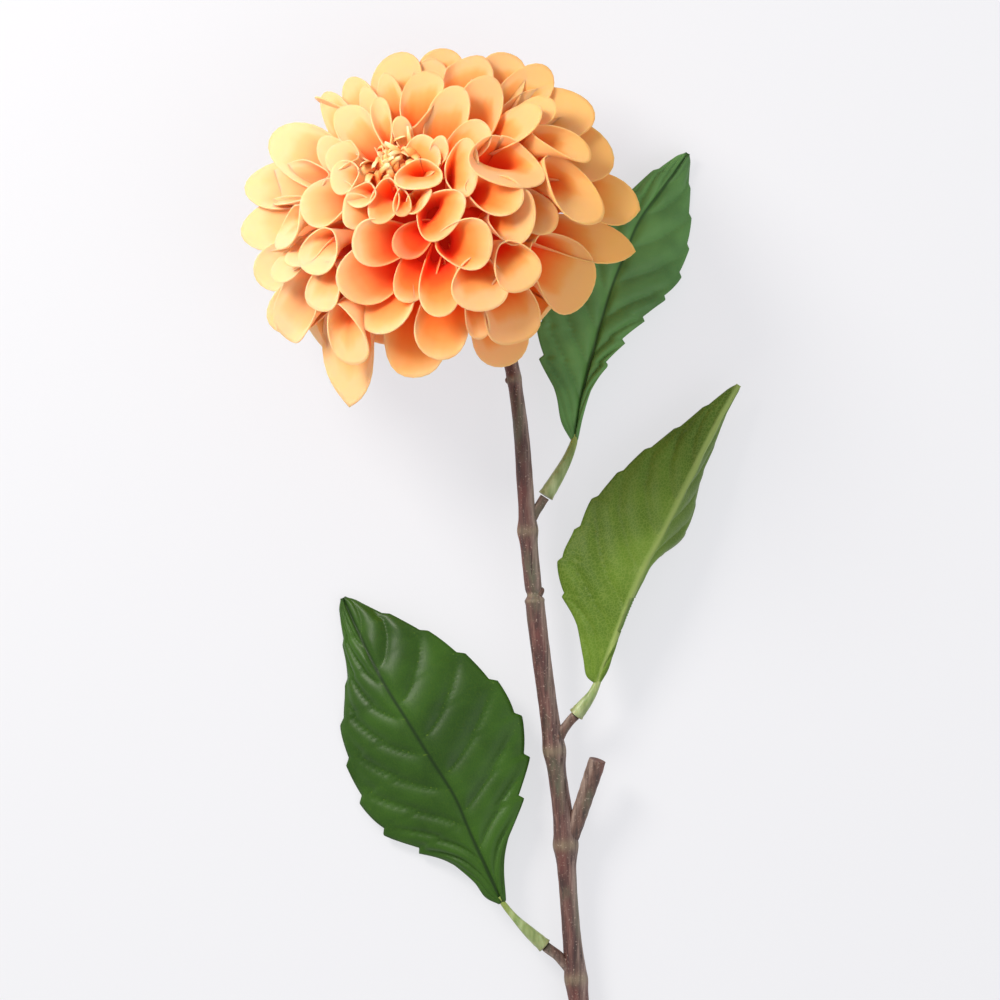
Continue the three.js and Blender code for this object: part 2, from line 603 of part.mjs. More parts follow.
// Short bars grown from the stem: the cut side branch, the leaf stubs and the bud nubs.
const TWIGS = [
  [[40.5, -186, 8, 2.5], [43.5, -178, 9.5, 2.5], [48.2, -164, 12.5, 2.6], [48.9, -161.8, 13, 2.5]],
  [[28.3, -90, 13.5, 1.8], [30.8, -86, 13.4, 1.5], [33, -82.6, 13.2, 1.45]],
  [[36, -157, 9.5, 1.9], [39.5, -151.5, 10.2, 1.5], [42.2, -148.4, 11, 1.5]],
  [[42.3, -227, 5.5, 2], [37.5, -221.5, 6.5, 1.6], [33.3, -218.2, 7.4, 1.6]],
  [[22.6, -47.5, 14.9, 1.3], [21.2, -46.8, 15.2, 1]],
  [[31, -111.5, 12.4, 1.6], [32.6, -110, 12.6, 1]],
  [[36.5, -156, 10.5, 1.4], [37, -154.4, 12.6, 0.8]],
];
function stem() {
  const twigs = TWIGS.map((stops) => solid(bar(stops, 7, 3)));
  return geometryOf(joined([solid(bar(STEM, 9, 42)), ...twigs], [solid(underside())]));
}

// ---- Leaves ----

// A leaf is named by its midrib and its two edges, each from base to tip, [x, y, z].
const LEAVES = {
  upper: {
    rib: [[42, -65.2, 10.5], [44.1, -53.4, 10], [47.1, -41.4, 9.4], [50.7, -28, 8.8], [54, -17.4, 8.4],
      [57, -10, 8], [61.5, 0.6, 7.4], [69, 11.1, 5.6], [76.2, 21.3, 3.4]],
    right: [[42.7, -65.2, 10.5], [44.5, -58, 10.8], [48.5, -46, 10.6], [55.5, -36, 9.2], [64, -26.5, 7],
      [72.5, -17, 3.6], [76, -6.5, 1.2], [76, 5, 0.5], [76.4, 14, 1.4], [76.5, 21.2, 3.4]],
    left: [[41.3, -65.4, 10.5], [38.2, -60, 11], [36.5, -52, 11.8], [33.2, -42, 12.4], [32, -33, 12.4],
      [33.3, -22.5, 12], [38, -11, 11.4], [46, 0, 10.4], [57.5, 9, 8.6], [66, 15.5, 6.2], [75.9, 21.4, 3.4]],
    teeth: 9,
    tooth: 1.8,
  },
  middle: {
    rib: [[49, -138.2, 12.4], [55.5, -122.4, 15.4], [62.1, -106, 17.4], [69, -92.4, 17], [76.5, -77.4, 15],
      [84, -62.4, 12], [91.6, -48.8, 8.4]],
    right: [[49.8, -138, 12.4], [53.6, -129, 12.6], [57.2, -117, 12], [64.5, -104, 8.2], [73.5, -94.5, 2.6],
      [78.6, -84, 0.6], [81.4, -73, 2.6], [85.6, -61.5, 6.2], [91.9, -48.9, 8.4]],
    left: [[48.2, -138.4, 12.4], [45.4, -131, 11.6], [42.5, -120, 11], [38.4, -110, 10.4], [38.6, -101, 10],
      [42.8, -93.5, 10], [47.5, -84, 10.2], [56, -75.5, 10.4], [67.5, -66, 10.4], [81, -56, 9.6],
      [91.3, -48.6, 8.4]],
    teeth: 9,
    tooth: 1.4,
  },
  lower: {
    rib: [[20.2, -204.8, 8.6], [10.5, -184, 10.6], [6, -173.4, 11.6], [-1.5, -161.4, 12.2],
      [-9, -149.4, 11.8], [-16.5, -137.4, 9.8], [-22.5, -125.4, 6.2], [-27.9, -113, 1.8]],
    right: [[21, -204.4, 8.6], [20.9, -191, 8.6], [24.6, -174, 8], [26.8, -160, 7.8], [23.6, -147.5, 8.4],
      [15.6, -137, 9], [3, -127, 8.6], [-12, -119.6, 6.2], [-27.4, -112.8, 1.8]],
    left: [[19.4, -205.2, 8.6], [12, -198.5, 7], [4, -192.5, 5.4], [-6, -188, 3.8], [-16.5, -181, 2.2],
      [-24, -169, 1.2], [-27, -155, 0.8], [-26.6, -141, 1], [-27.4, -127, 1.4], [-28.4, -113.2, 1.8]],
    teeth: 8,
    tooth: 2.2,
  },
};

// Stations of one tooth, as [share of the tooth, share of its reach]: a slow slope to its point,
// then a quick fall into the notch.
const TOOTH = [[0, 0], [0.5, 0.55], [0.86, 1]];
const HALF_LEAF = [0, 0.5, 1];
const TOOTH_FROM = 0.16;

const curveOf = (points) => new THREE.CatmullRomCurve3(points.map(([x, y, z]) => at(x, y, z)));

function leaf({ rib, right, left, teeth, tooth }) {
  const curves = { rib: curveOf(rib), right: curveOf(right), left: curveOf(left) };
  const stations = [0, TOOTH_FROM / 2];
  for (let i = 0; i < teeth; i++) {
    for (const [share] of TOOTH) stations.push(TOOTH_FROM + ((1 - TOOTH_FROM) * (i + share)) / teeth);
  }
  stations.push(1);
  const reach = (i) => {
    const share = i < 2 || i === stations.length - 1 ? 0 : TOOTH[(i - 2) % TOOTH.length][1];
    return tooth * share * Math.min(1, 1.3 - stations[i]);
  };
  const sheet = stations.map((s, i) => {
    const spine = curves.rib.getPointAt(s);
    const row = [];
    for (const side of ['right', 'left']) {
      const rim = curves[side].getPointAt(s);
      rim.addScaledVector(rim.clone().sub(spine).normalize(), reach(i));
      const half = HALF_LEAF.map((t) => spine.clone().lerp(rim, t).add(at(0, 0, 2.2 * t * (1 - t))));
      row.push(side === 'right' ? half.slice(1).reverse() : half);
    }
    return row.flat();
  });
  const rings = sheet.map((row, i) => {
    const [before, after] = [sheet[Math.max(i - 1, 0)], sheet[Math.min(i + 1, sheet.length - 1)]];
    const offset = row.map((p, j) => {
      const along = after[j].clone().sub(before[j]);
      const beside = row[Math.min(j + 1, row.length - 1)].clone().sub(row[Math.max(j - 1, 0)]);
      const up = beside.cross(along).normalize();
      return up.multiplyScalar((Math.sign(up.z) * LEAF_THICKNESS) / 2);
    });
    const top = row.map((p, j) => p.clone().add(offset[j]));
    const bottom = row.map((p, j) => p.clone().sub(offset[j]));
    for (const p of bottom) p.z = Math.max(p.z, 0);
    for (const p of top) p.z = Math.max(p.z, LEAF_THICKNESS);
    return [...top, ...bottom.reverse()];
  });
  const across = sheet[0].length;
  return ringSolid(rings, (i, j) => j >= across);
}

// The pale sleeves between the stubs and the blades, [x, y, z, radius].
const SLEEVES = {
  upper: [[33.25, -82.2, 13.2, 2.2], [36.5, -77, 12.8, 2], [39.8, -71, 12, 1.5], [41.75, -66, 10.8, 1.1]],
  middle: [[42.45, -148.1, 11.1, 2.2], [45, -145, 11.8, 1.9], [47.2, -142, 12.2, 1.4],
    [48.7, -138.9, 12.4, 1]],
  lower: [[33, -218, 7.5, 2.1], [28.5, -214, 8.2, 1.8], [24, -209.5, 8.6, 1.2], [20.8, -205.6, 8.6, 1]],
};

// ---- The part ----

const paint = (color, roughness) => new THREE.MeshStandardMaterial({ color, roughness, metalness: 0 });
const PIECES = {
  bloom_petals: [bloomPetals(), paint('#ffb577', 0.75)],
  bloom_centre: [bloomCentre(), paint('#f6cf86', 0.75)],
  calyx: [calyx(), paint('#6f8a45', 0.7)],
  stem: [stem(), paint('#6b4a42', 0.65)],
};
for (const place of ['upper', 'middle', 'lower']) {
  PIECES[`leaf_${place}`] = [leaf(LEAVES[place]), paint(place === 'middle' ? '#5a741b' : '#3a5f22', 0.5)];
  PIECES[`petiole_${place}`] = [bar(SLEEVES[place], 8, 8), paint('#a3b878', 0.55)];
}

const dahlia = new THREE.Group();
for (const [name, [geometry, material]] of Object.entries(PIECES)) {
  const mesh = new THREE.Mesh(geometry, material);
  mesh.name = name;
  mesh.position.copy(LAYOUT_SHIFT);
  dahlia.add(mesh);
}

export default dahlia;
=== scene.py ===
import bpy
import numpy as np
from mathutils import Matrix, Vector


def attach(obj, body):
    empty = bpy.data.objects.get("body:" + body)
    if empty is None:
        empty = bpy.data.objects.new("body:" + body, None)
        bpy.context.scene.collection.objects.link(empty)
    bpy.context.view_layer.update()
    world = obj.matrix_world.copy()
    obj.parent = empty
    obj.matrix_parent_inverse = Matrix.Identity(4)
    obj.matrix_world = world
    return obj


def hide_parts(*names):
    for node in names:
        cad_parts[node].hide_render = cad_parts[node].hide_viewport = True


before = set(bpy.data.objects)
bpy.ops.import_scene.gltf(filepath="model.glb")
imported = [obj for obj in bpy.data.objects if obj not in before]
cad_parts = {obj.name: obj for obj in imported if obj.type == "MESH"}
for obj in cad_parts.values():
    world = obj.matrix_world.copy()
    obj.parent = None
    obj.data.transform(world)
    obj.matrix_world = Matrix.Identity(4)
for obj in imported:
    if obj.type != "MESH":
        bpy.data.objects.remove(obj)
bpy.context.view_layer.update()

# Lengths are worked out in millimetres in the flower's own layout, whose zero is under the bloom's
# middle. This turns them into the part's metres.
MM = 0.001
LAYOUT_SHIFT = np.array([-16.8, 109.9, 0.0])

# The bloom: a flattened ball about an axis that leans back from straight up.
BLOOM_MIDDLE = np.array([0.0, 0.0, 41.2])
BLOOM_AXIS = np.array([-0.424, 0.566, 0.707])
BLOOM_AXIS = BLOOM_AXIS / np.linalg.norm(BLOOM_AXIS)
AXIS_OUT = np.array([0.424, -0.566, 0.707])
AXIS_OUT = AXIS_OUT / np.linalg.norm(AXIS_OUT)
AXIS_SIDE = np.cross(BLOOM_AXIS, AXIS_OUT)
BALL_RADIUS = 57.0
BALL_HEIGHT = 36.0
# The petals fan out from this point. Their roots lie this far from it, and are this full at the least.
FAN_POINT = -8.0 * BLOOM_AXIS
ROOT_REACH = 12.0
ROOT_FULLNESS = 0.1
# Within this of the surface, a petal bends until it lies flat on it.
PRESS_DEPTH = 1.5
GOLDEN_ANGLE = np.radians(137.508)
# How far the calyx's brim lies below the bloom's middle, and how long the calyx is.
CALYX_DROP = 21.5
CALYX_LENGTH = 9.0

chance = np.random.default_rng(11)


# ---- Small helpers on whole arrays ----

def unit(vectors):
    """Each vector divided by its own length."""
    return vectors / np.linalg.norm(vectors, axis=-1, keepdims=True)


def ease(x, low, high):
    """0 up to low, 1 from high on, and 3s^2 - 2s^3 of the share s between."""
    s = np.clip((x - low) / (high - low), 0.0, 1.0)
    return s * s * (3.0 - 2.0 * s)


def smooth_path(stops, shares):
    """Centripetal Catmull-Rom curve through the stops, read at equal shares of its arc length.

    Between two stops the curve is the cubic whose end slopes are the centripetal finite
    differences, with knots spaced by the square root of the distance between stops."""
    stops = np.asarray(stops, float)
    before = 2.0 * stops[0] - stops[1]
    after = 2.0 * stops[-1] - stops[-2]
    held = np.vstack([before, stops, after])
    gaps = np.sqrt(np.linalg.norm(np.diff(held[:, :3], axis=0), axis=1))
    gaps = np.maximum(gaps, 1e-4)
    per = 40
    span = np.repeat(np.arange(len(stops) - 1), per)
    t = np.tile(np.arange(per) / per, len(stops) - 1)[:, None]
    p0, p1, p2, p3 = (held[span + k] for k in range(4))
    g0, g1, g2 = (gaps[span + k][:, None] for k in range(3))
    slope_1 = ((p1 - p0) / g0 - (p2 - p0) / (g0 + g1) + (p2 - p1) / g1) * g1
    slope_2 = ((p2 - p1) / g1 - (p3 - p1) / (g1 + g2) + (p3 - p2) / g2) * g1
    curve = (
        p1 + slope_1 * t
        + (-3.0 * p1 + 3.0 * p2 - 2.0 * slope_1 - slope_2) * t ** 2
        + (2.0 * p1 - 2.0 * p2 + slope_1 + slope_2) * t ** 3
    )
    curve = np.vstack([curve, stops[-1:]])
    run = np.concatenate([[0.0], np.cumsum(np.linalg.norm(np.diff(curve[:, :3], axis=0), axis=1))])
    run = run / run[-1]
    return np.stack([np.interp(shares, run, curve[:, k]) for k in range(curve.shape[1])], axis=1)


def surface_normals(grid):
    """Unit normals of (..., rows, columns, 3) grids: the cross product of the two central differences."""
    down = np.gradient(grid, axis=-3)
    along = np.gradient(grid, axis=-2)
    return unit(np.cross(along, down) + 1e-12)


def per_sheet(values):
    """One value for each sheet, shaped to spread over the sheet's rows and columns."""
    return values[:, None, None]


def grid_quads(rows, columns, closed=False):
    """Corner numbers of the cells of a rows by columns grid, wrapped round where it is closed."""
    last = columns if closed else columns - 1
    i, j = np.meshgrid(np.arange(rows - 1), np.arange(last), indexing="ij")
    here = i * columns + j
    beside = i * columns + (j + 1) % columns
    return np.stack([here, beside, beside + columns, here + columns], axis=-1).reshape(-1, 4)


def shell_faces(rows, columns):
    """Cells of an outer and an inner grid of equal size, and the strips that join their edges."""
    each = rows * columns
    cells = grid_quads(rows, columns)
    edge = np.concatenate([
        np.arange(columns), np.arange(1, rows) * columns + columns - 1,
        (rows - 1) * columns + np.arange(columns - 2, -1, -1), np.arange(rows - 2, 0, -1) * columns,
    ])
    following = np.roll(edge, -1)
    strip = np.stack([edge, edge + each, following + each, following], axis=-1)
    return np.concatenate([cells, cells[:, ::-1] + each, strip])


def closed_shells(outer, inner, turned):
    """Points and faces of N closed shells, each an outer and an inner sheet joined round their edges.

    The faces of a shell that is turned are listed backwards, so that they still point outwards."""
    count, rows, columns = outer.shape[:3]
    each = rows * columns
    points = np.concatenate([outer.reshape(count, each, 3), inner.reshape(count, each, 3)], axis=1)
    one = shell_faces(rows, columns)
    faces = np.where(np.broadcast_to(turned, count)[:, None, None], one[None, :, ::-1], one[None])
    return points, (faces + (np.arange(count) * 2 * each)[:, None, None]).reshape(-1, 4)


def on_both_faces(values):
    """Values on N sheets, repeated for the outer and the inner face of each shell."""
    return np.repeat(values.reshape(len(values), 1, -1), 2, axis=1)


def new_mesh_object(name, points_mm, faces, marks, uv=None):
    """A smooth mesh object from whole arrays, its points given in layout millimetres."""
    mesh = bpy.data.meshes.new(name)
    points = (np.asarray(points_mm).reshape(-1, 3) + LAYOUT_SHIFT) * MM
    mesh.from_pydata(points.tolist(), [], faces.tolist())
    for mark, values in marks.items():
        layer = mesh.attributes.new(mark, "FLOAT", "POINT")
        layer.data.foreach_set("value", np.asarray(values, np.float32).ravel())
    if uv is not None:
        corners = np.empty(len(mesh.loops), np.int32)
        mesh.loops.foreach_get("vertex_index", corners)
        layer = mesh.uv_layers.new(name="flow")
        layer.data.foreach_set("uv", np.asarray(uv, np.float32).reshape(-1, 2)[corners].ravel())
    mesh.shade_smooth()
    mesh.validate()
    piece = bpy.data.objects.new(name, mesh)
    bpy.context.scene.collection.objects.link(piece)
    return piece


def finish_piece(piece, material, nodes):
    """Gives a piece its material, its body and the solids that it stands for."""
    piece.data.materials.append(material)
    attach(piece, "root")
    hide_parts(*nodes)


# ---- The bloom ----

# Petals that face up: [x and y where the margins meet, x and y of the lip, width, depth of the
# meeting point, lift], in millimetres from the bloom's middle as seen from above.
FACE_PETALS = np.array([
    # the clear cups beside the eye
    [0.5, -7, 16.5, -7.5, 14, 1, 2],
    [-4, 5.5, 6, -1, 15.5, 1.5, 1],
    [-11, -5.5, -23, -7.5, 13, 1, 1],
    [1, -11, 1.5, -28, 11.5, 3, 0.5],
    [14, -12, 14, -26, 15, 3, -1],
    [21.5, -7, 27.5, -20, 12.5, 1.5, 0],
    [18.5, 2.5, 29.5, 0.5, 15, 1.5, -1],
    [10, 11.5, 25, 5, 11, 1.5, 1],
    [21.5, 26.5, 22, 11, 20, 4, 1],
    [3.5, 15.5, 11.5, 16, 14.5, 2, 0],
    [-4.5, 18.5, -5, 10, 12, 1.5, 0.5],
    [-8, 8.5, -3.5, 5, 8, 1, 0],
    # above the eye
    [17, 33, 31, 31.5, 10.5, 2, 1],
    [23, 37, 36, 35.5, 10, 2, -1],
    [13, 29.5, 16, 43.5, 12, 3, 0],
    [6.5, 38.5, 12.5, 50.5, 13, 3, -0.5],
    [1.5, 48, 1.5, 54.5, 13.5, 2, -2],
    [-7, 31, -1.5, 50, 13, 4, -1],
    [-8, 31, -2, 44, 10.5, 3, 0.5],
    [-2, 24.5, 6.5, 38.5, 11.5, 2, 1.5],
    [-13.5, 30, -15.5, 44.5, 7.5, 3, 0],
    [-16.5, 39, -13, 53, 15, 3, -2],
    [-18.5, 24.5, -21.5, 40, 7, 2.5, 0],
    [-15, 24, -17.5, 37, 5.5, 2, 0],
    # left of the eye
    [-20, 22, -28, 34, 11, 3, 0],
    [-28, 21.5, -34, 39.5, 9, 3, -0.5],
    [-23, 33, -27, 44.5, 10, 2, -1.5],
    [-27, 42, -37, 39.5, 5, 2, -2.5],
    [-33, 17, -49, 27, 17, 3, -0.5],
    [-46, 15, -57.5, 13, 14, 3, -2],
    [-34, 13, -50.5, 12, 13, 2, 0],
    [-26.5, 9.5, -39, 4, 12.5, 2, 0],
    [-25, 12, -35, 24.5, 9.5, 2.5, 0],
    [-20.5, 4, -27, 2.5, 9, 1.5, 0],
    [-43, 5, -46.5, -7.5, 9.5, 2, 0],
    [-45, 4, -58.5, -1.5, 15, 3, -1.5],
    [-44, -10, -56.5, -16, 14, 3, -2],
    [-33, -2.5, -37, -15, 10, 2, 0.5],
    [-38.5, -1, -43, -12.5, 8, 2, 0],
    [-44.5, -7, -48, -17, 7, 2, 0],
    # below the eye
    [-13, -12, -27, -20.5, 16.5, 4, -0.5],
    [-19, -19, -16, -33.5, 14.5, 3, -1.5],
    [-38.5, -15, -46.5, -33.5, 13, 3, 0],
    [-32.5, -13, -35, -26, 9, 2, 0],
    [-31, -26, -23, -42.5, 9.5, 2, 0.5],
    [-38, -24, -27.5, -53, 14.5, 3, -2],
    [-42, -22, -52, -31.5, 15, 3, -3],
    [-6.5, -12, -7, -48, 19, 5, -2],
    [-3, -5, -10, -25, 11, 3, -5],
    [-2, -1, -12, -9, 9, 3, -6],
    [5, -23.5, 0.5, -41, 15, 3, -1],
    [11.5, -24.5, 14.5, -36.5, 6, 2, -3],
    [21, -29, 23, -44, 16, 3, -2.5],
    [23, -19, 25, -36.5, 15.5, 3, -0.5],
    # right of the eye
    [33, -7, 46.5, -23.5, 18.5, 4, -1],
    [35.5, 0, 59, -8.5, 12, 4, -1.5],
    [46.5, 17, 60, 4.5, 14, 3, -0.5],
    [37.5, 21, 47, 0.5, 11.5, 4, 0.5],
    [26.5, 11.5, 37, -2, 10, 3, -4],
    [30, 28.5, 46.5, 19.5, 7, 2, 0.5],
    [31, 30.5, 53, 22.5, 19, 4, -1],
    [26, 37.5, 45.5, 37.5, 18, 3, -1.5],
    [16, 38, 22.5, 50.5, 15, 3, 0],
    [22, 40, 34, 48, 13, 3, -2],
    # the small ones round the eye
    [-10.5, 9.5, -9.5, 2, 4.5, 1, 0],
    [-15, 13, -16, 0.5, 8, 2, 0],
    [-1.5, 21, 2.5, 23.5, 5, 1, 0],
    [1, 22.5, 16, 28, 10, 2, -0.5],
    [-11, 18, -1, 24, 10.5, 2, -2.5],
    [-9.5, 24.5, -11, 31, 5, 2, 0],
    [-24, 15.5, -30, 12.5, 8, 1.5, 0],
    [-20.5, 11.5, -23.5, 5.5, 6, 1.5, 0],
    [-25, 21, -31, 20, 8, 1.5, 0],
])
# How far, in mm, the lips of a few of them are drawn out into a point.
POINTED = {45: 3.0, 55: 2.0, 56: 1.5}
PETAL_THICKNESS = 0.4
# Makes the mouth's widest place as wide as its petal's stated width.
WIDEST = 1.27
# The floor's depth under the mouth's middle, as a share of the mouth's length.
FLOOR_DEPTH = 0.3
# The petals lie over each other outwards from here, seen from above.
INMOST = np.array([-9.0, 8.0])
# How far under a nearer petal's floor a rim is tucked, and the most that a closed point is sunk for it.
SINK_ROOM = 0.8
MOST_SUNK = 15.0
# The part of a rim that can be tucked in, from this angle from its lip, under a cup's floor from this
# share of its scale outwards, within this depth. It is tested at a few points on each side.
TUCK_FROM = np.radians(115.0)
TUCK_POINTS = 8
LEAST_TUCKED = 0.3
DEEPEST = 16.0
# The part of a petal's throat and of its breadth that grows evenly from the root.
THROAT_SHARE = 0.22
BREADTH_SHARE = 0.4
# The least and the greatest power by which a petal opens out.
LEAST_FLARE, MOST_FLARE = 4.0, 20.0
# How far the corners of a tucked petal's blade hang, as a share of its depth past an open one's.
MARGIN_DROP = 0.9
UNTUCKED_DEPTH = 4.0
MOST_MARGIN_DROP = 7.0
# The most that a mouth seen at a slant is widened.
MOST_WIDENING = 1.6
# The middle of the reddest petals, seen from above, and how far from it they begin to be pale and are
# palest.
HEART = np.array([-4.0, -3.0])
PALE_FROM_TO = (14.0, 44.0)
# How far the rim rolls outwards and down at the lip.
ROLL_OUT = 1.2
ROLL_DOWN = 0.8
# The cells of a petal, down and across, in front and behind, and where each blade starts on its way up.
FRONT_CELLS = (15, 33)
BEHIND_CELLS = (13, 33)
LOWEST_SEEN = 0.22
LOWEST_BEHIND = 0.3
# Rows crowd towards the rim by this power.
ROW_CROWDING = 1.7
# The petals behind stand on a ball of this share of the one in front.
BACK_SCALE = 0.94
BACK_HALF_LENGTH = np.radians(11.0)
BACK_WIDTH = 18.0
BACK_DEPTH = 3.0
# Their places by the golden angle, between two angles from the axis, and how far they sway.
SPIRAL_COUNT = 42
SPIRAL_FROM, SPIRAL_TO = np.cos(np.radians([30.0, 106.0]))
SPIRAL_SWAY = 0.12
# The rows that close the bloom's back: [angle from the axis in degrees, number, radius of the ring that
# their feet stand in], and how far that ring lies below the middle.
SKIRT_ROWS = ((113.0, 10, 6.0), (131.0, 10, -11.0))
SKIRT_WIDTH = 21.0
SKIRT_FULLNESS = 0.3
SKIRT_ROOT_DROP = 16.0
# A place on the ball counts as hidden where its normal points up by less than this, and as lonely where
# no petal that is seen is as near as this.
FACE_LIMIT = 0.08
LONELY_REACH = 11.6
# Where the bloom's outline, seen from above, has gaps: x, y and radius. The petals behind are held in
# there, on a ball of this share of the one in front, also where they face up past this angle.
NOTCHES = np.array([[-17.0, -43.0, 13.0], [-4.0, -45.0, 8.0], [8.0, -44.0, 9.0]])
NOTCH_SCALE = 0.74
NOTCH_FROM = np.radians(85.0)
# The core that the petals grow from: [radius, height along the bloom's axis], from the stem's side up.
CORE = np.array([[0, -23], [9, -22], [15, -16], [25, -10], [34, 1], [31, 12], [22, 21], [0, 26]])
CORE_SCALE = 0.93
CORE_CELLS = (24, 48)
# The core has the colour that petals have at this share of their way up.
CORE_RISE = 0.52
# Keeps a turned profile from closing to a point of no size.
LEAST_RADIUS = 0.02


def ball_face(x, y):
    """Where a line straight down at x, y meets the leaning flattened ball.

    The height is the upper root of the ball's quadric. Past the ball's outline the place shrinks
    back onto the outline first, so the height is that of the outline there."""
    lean = BLOOM_AXIS[2]
    along = BLOOM_AXIS[0] * x + BLOOM_AXIS[1] * y
    wide, high = BALL_RADIUS ** -2, BALL_HEIGHT ** -2
    square = (1.0 - lean ** 2) * wide + lean ** 2 * high
    half = along * lean * (high - wide)
    rest = (x * x + y * y - along ** 2) * wide + along ** 2 * high
    inside = half ** 2 - square * (rest - 1.0)
    root = np.sqrt(np.maximum(inside, 0.0))
    shrink = np.where(inside > 0.0, 1.0, np.sqrt(square / np.maximum(square * rest - half ** 2, 1e-9)))
    return np.stack([x, y, (-half * shrink + root) / square], axis=-1)


def on_ball(angle, turn, scale=1.0):
    """The ball's point at an angle from its axis and a turn round it, times a scale."""
    angle, turn = np.broadcast_arrays(angle, turn)
    return scale * (
        BALL_HEIGHT * np.cos(angle)[..., None] * BLOOM_AXIS
        + BALL_RADIUS * (np.sin(angle) * np.cos(turn))[..., None] * AXIS_OUT
        + BALL_RADIUS * (np.sin(angle) * np.sin(turn))[..., None] * AXIS_SIDE
    )


def faces_up(angle, turn):
    """The upward part of the ball's unit normal."""
    normal = (
        (np.cos(angle) / BALL_HEIGHT)[..., None] * BLOOM_AXIS
        + (np.sin(angle) * np.cos(turn) / BALL_RADIUS)[..., None] * AXIS_OUT
        + (np.sin(angle) * np.sin(turn) / BALL_RADIUS)[..., None] * AXIS_SIDE
    )
    return unit(normal)[..., 2]


def beside_notches(places):
    """Whether each place, seen from above, is outside every notch."""
    apart = np.linalg.norm(places[:, None, :2] - NOTCHES[None, :, :2], axis=2)
    return np.all(apart > NOTCHES[:, 2], axis=1)


def on_back(angle, turn, middle_angle):
    """The point on the ball behind, smaller in a notch, for a petal whose middle is at another angle."""
    shrink = np.where(beside_notches(on_ball(middle_angle, turn)), BACK_SCALE, NOTCH_SCALE)
    return on_ball(angle, turn) * shrink[:, None]


def repeatable_draw(n):
    """A share that looks random: the fraction left of sin(12.9898 n + 4.1) times 43758.5453."""
    wide = np.sin(n * 12.9898 + 4.1) * 43758.5453
    return wide - np.floor(wide)


def mouth_breadth(around):
    """The mouth's half width at an angle round it: full at the lip and half as wide where it closes."""
    return (np.cos(around / 2.0) ** 2 * 0.5 + 0.5) * WIDEST


def seen_widening(across, along):
    """How much wider a mouth is made so that it looks its stated width from above, up to a limit.

    One over the part of the unit vector across the mouth that is square, in plan, to its length."""
    plan = unit(along[:, :2])
    square = np.abs(across[:, 0] * plan[:, 1] - across[:, 1] * plan[:, 0])
    return np.minimum(1.0 / np.maximum(square, 1e-6), MOST_WIDENING)


def tucked_depths(meet, lip, width, depth, lift, seen):
    """Each petal's depth, or more where its rim would stand in the cup of a petal further in.

    The petals are taken from the inmost outwards. In an inner petal's frame a rim point lies X half
    lengths ahead of the mouth's middle, Y half widths aside and Z above it. The mouth, scaled about
    its closed point, passes through it at the share s = ((X + 1)^2 + Y^2) / (2 (X + 1)), and there the
    cup's floor is FLOOR_DEPTH times the mouth's length times ln((s - t) / (1 - t)) under the mouth,
    with the throat's share t. Sinking a closed point lowers the rim by (1 - cos) / 2 of that at an
    angle from the lip."""
    depth = depth.copy()
    inwards_out = np.argsort(np.linalg.norm((meet + lip) / 2.0 - ball_face(*INMOST), axis=1))
    half_turn = np.linspace(TUCK_FROM, np.pi, TUCK_POINTS)
    around = np.concatenate([-half_turn[:-1], half_turn])
    share = (1.0 - np.cos(around)) / 2.0
    pinch = mouth_breadth(around)
    inmost = meet[inwards_out[0]]
    outwards = np.linalg.norm(lip - inmost, axis=1) > np.linalg.norm(meet - inmost, axis=1)
    for place, petal in enumerate(inwards_out):
        inner = inwards_out[:place]
        if not place or not outwards[petal]:
            continue
        for _ in range(2):
            frames = petal_frames(meet, lip, width, depth, lift, seen=seen)
            rim = (
                frames["middle"][petal] + np.cos(around)[:, None] * frames["long"][petal]
                + (np.sin(around) * pinch)[:, None] * frames["across"][petal])
            axes = np.stack([frames["long"], frames["across"], unit(frames["rise"])], axis=-1)[inner]
            apart = rim[None] - frames["middle"][inner][:, None]
            held = np.linalg.solve(axes[:, None], apart[..., None])[..., 0]
            ahead, aside, above = np.moveaxis(held, -1, 0)
            aside = aside / ((0.75 + 0.25 * np.clip(ahead, -1.0, 1.0)) * WIDEST)
            scale = ((ahead + 1.0) ** 2 + aside ** 2) / (2.0 * np.maximum(ahead + 1.0, 1e-3))
            length = 2.0 * np.linalg.norm(frames["long"][inner], axis=1)[:, None]
            opened = (scale - THROAT_SHARE) / (1.0 - THROAT_SHARE)
            floor = -FLOOR_DEPTH * length * np.log(np.clip(opened, 1e-3, 1.0))
            within = (scale < 1.0) & (scale > LEAST_TUCKED) & (ahead > -1.0) & (above > -DEEPEST)
            lower = np.max(np.where(within, (above + floor + SINK_ROOM) / share, 0.0), initial=0.0)
            depth[petal] = max(depth[petal], min(depth[petal] + lower, MOST_SUNK))
    return depth


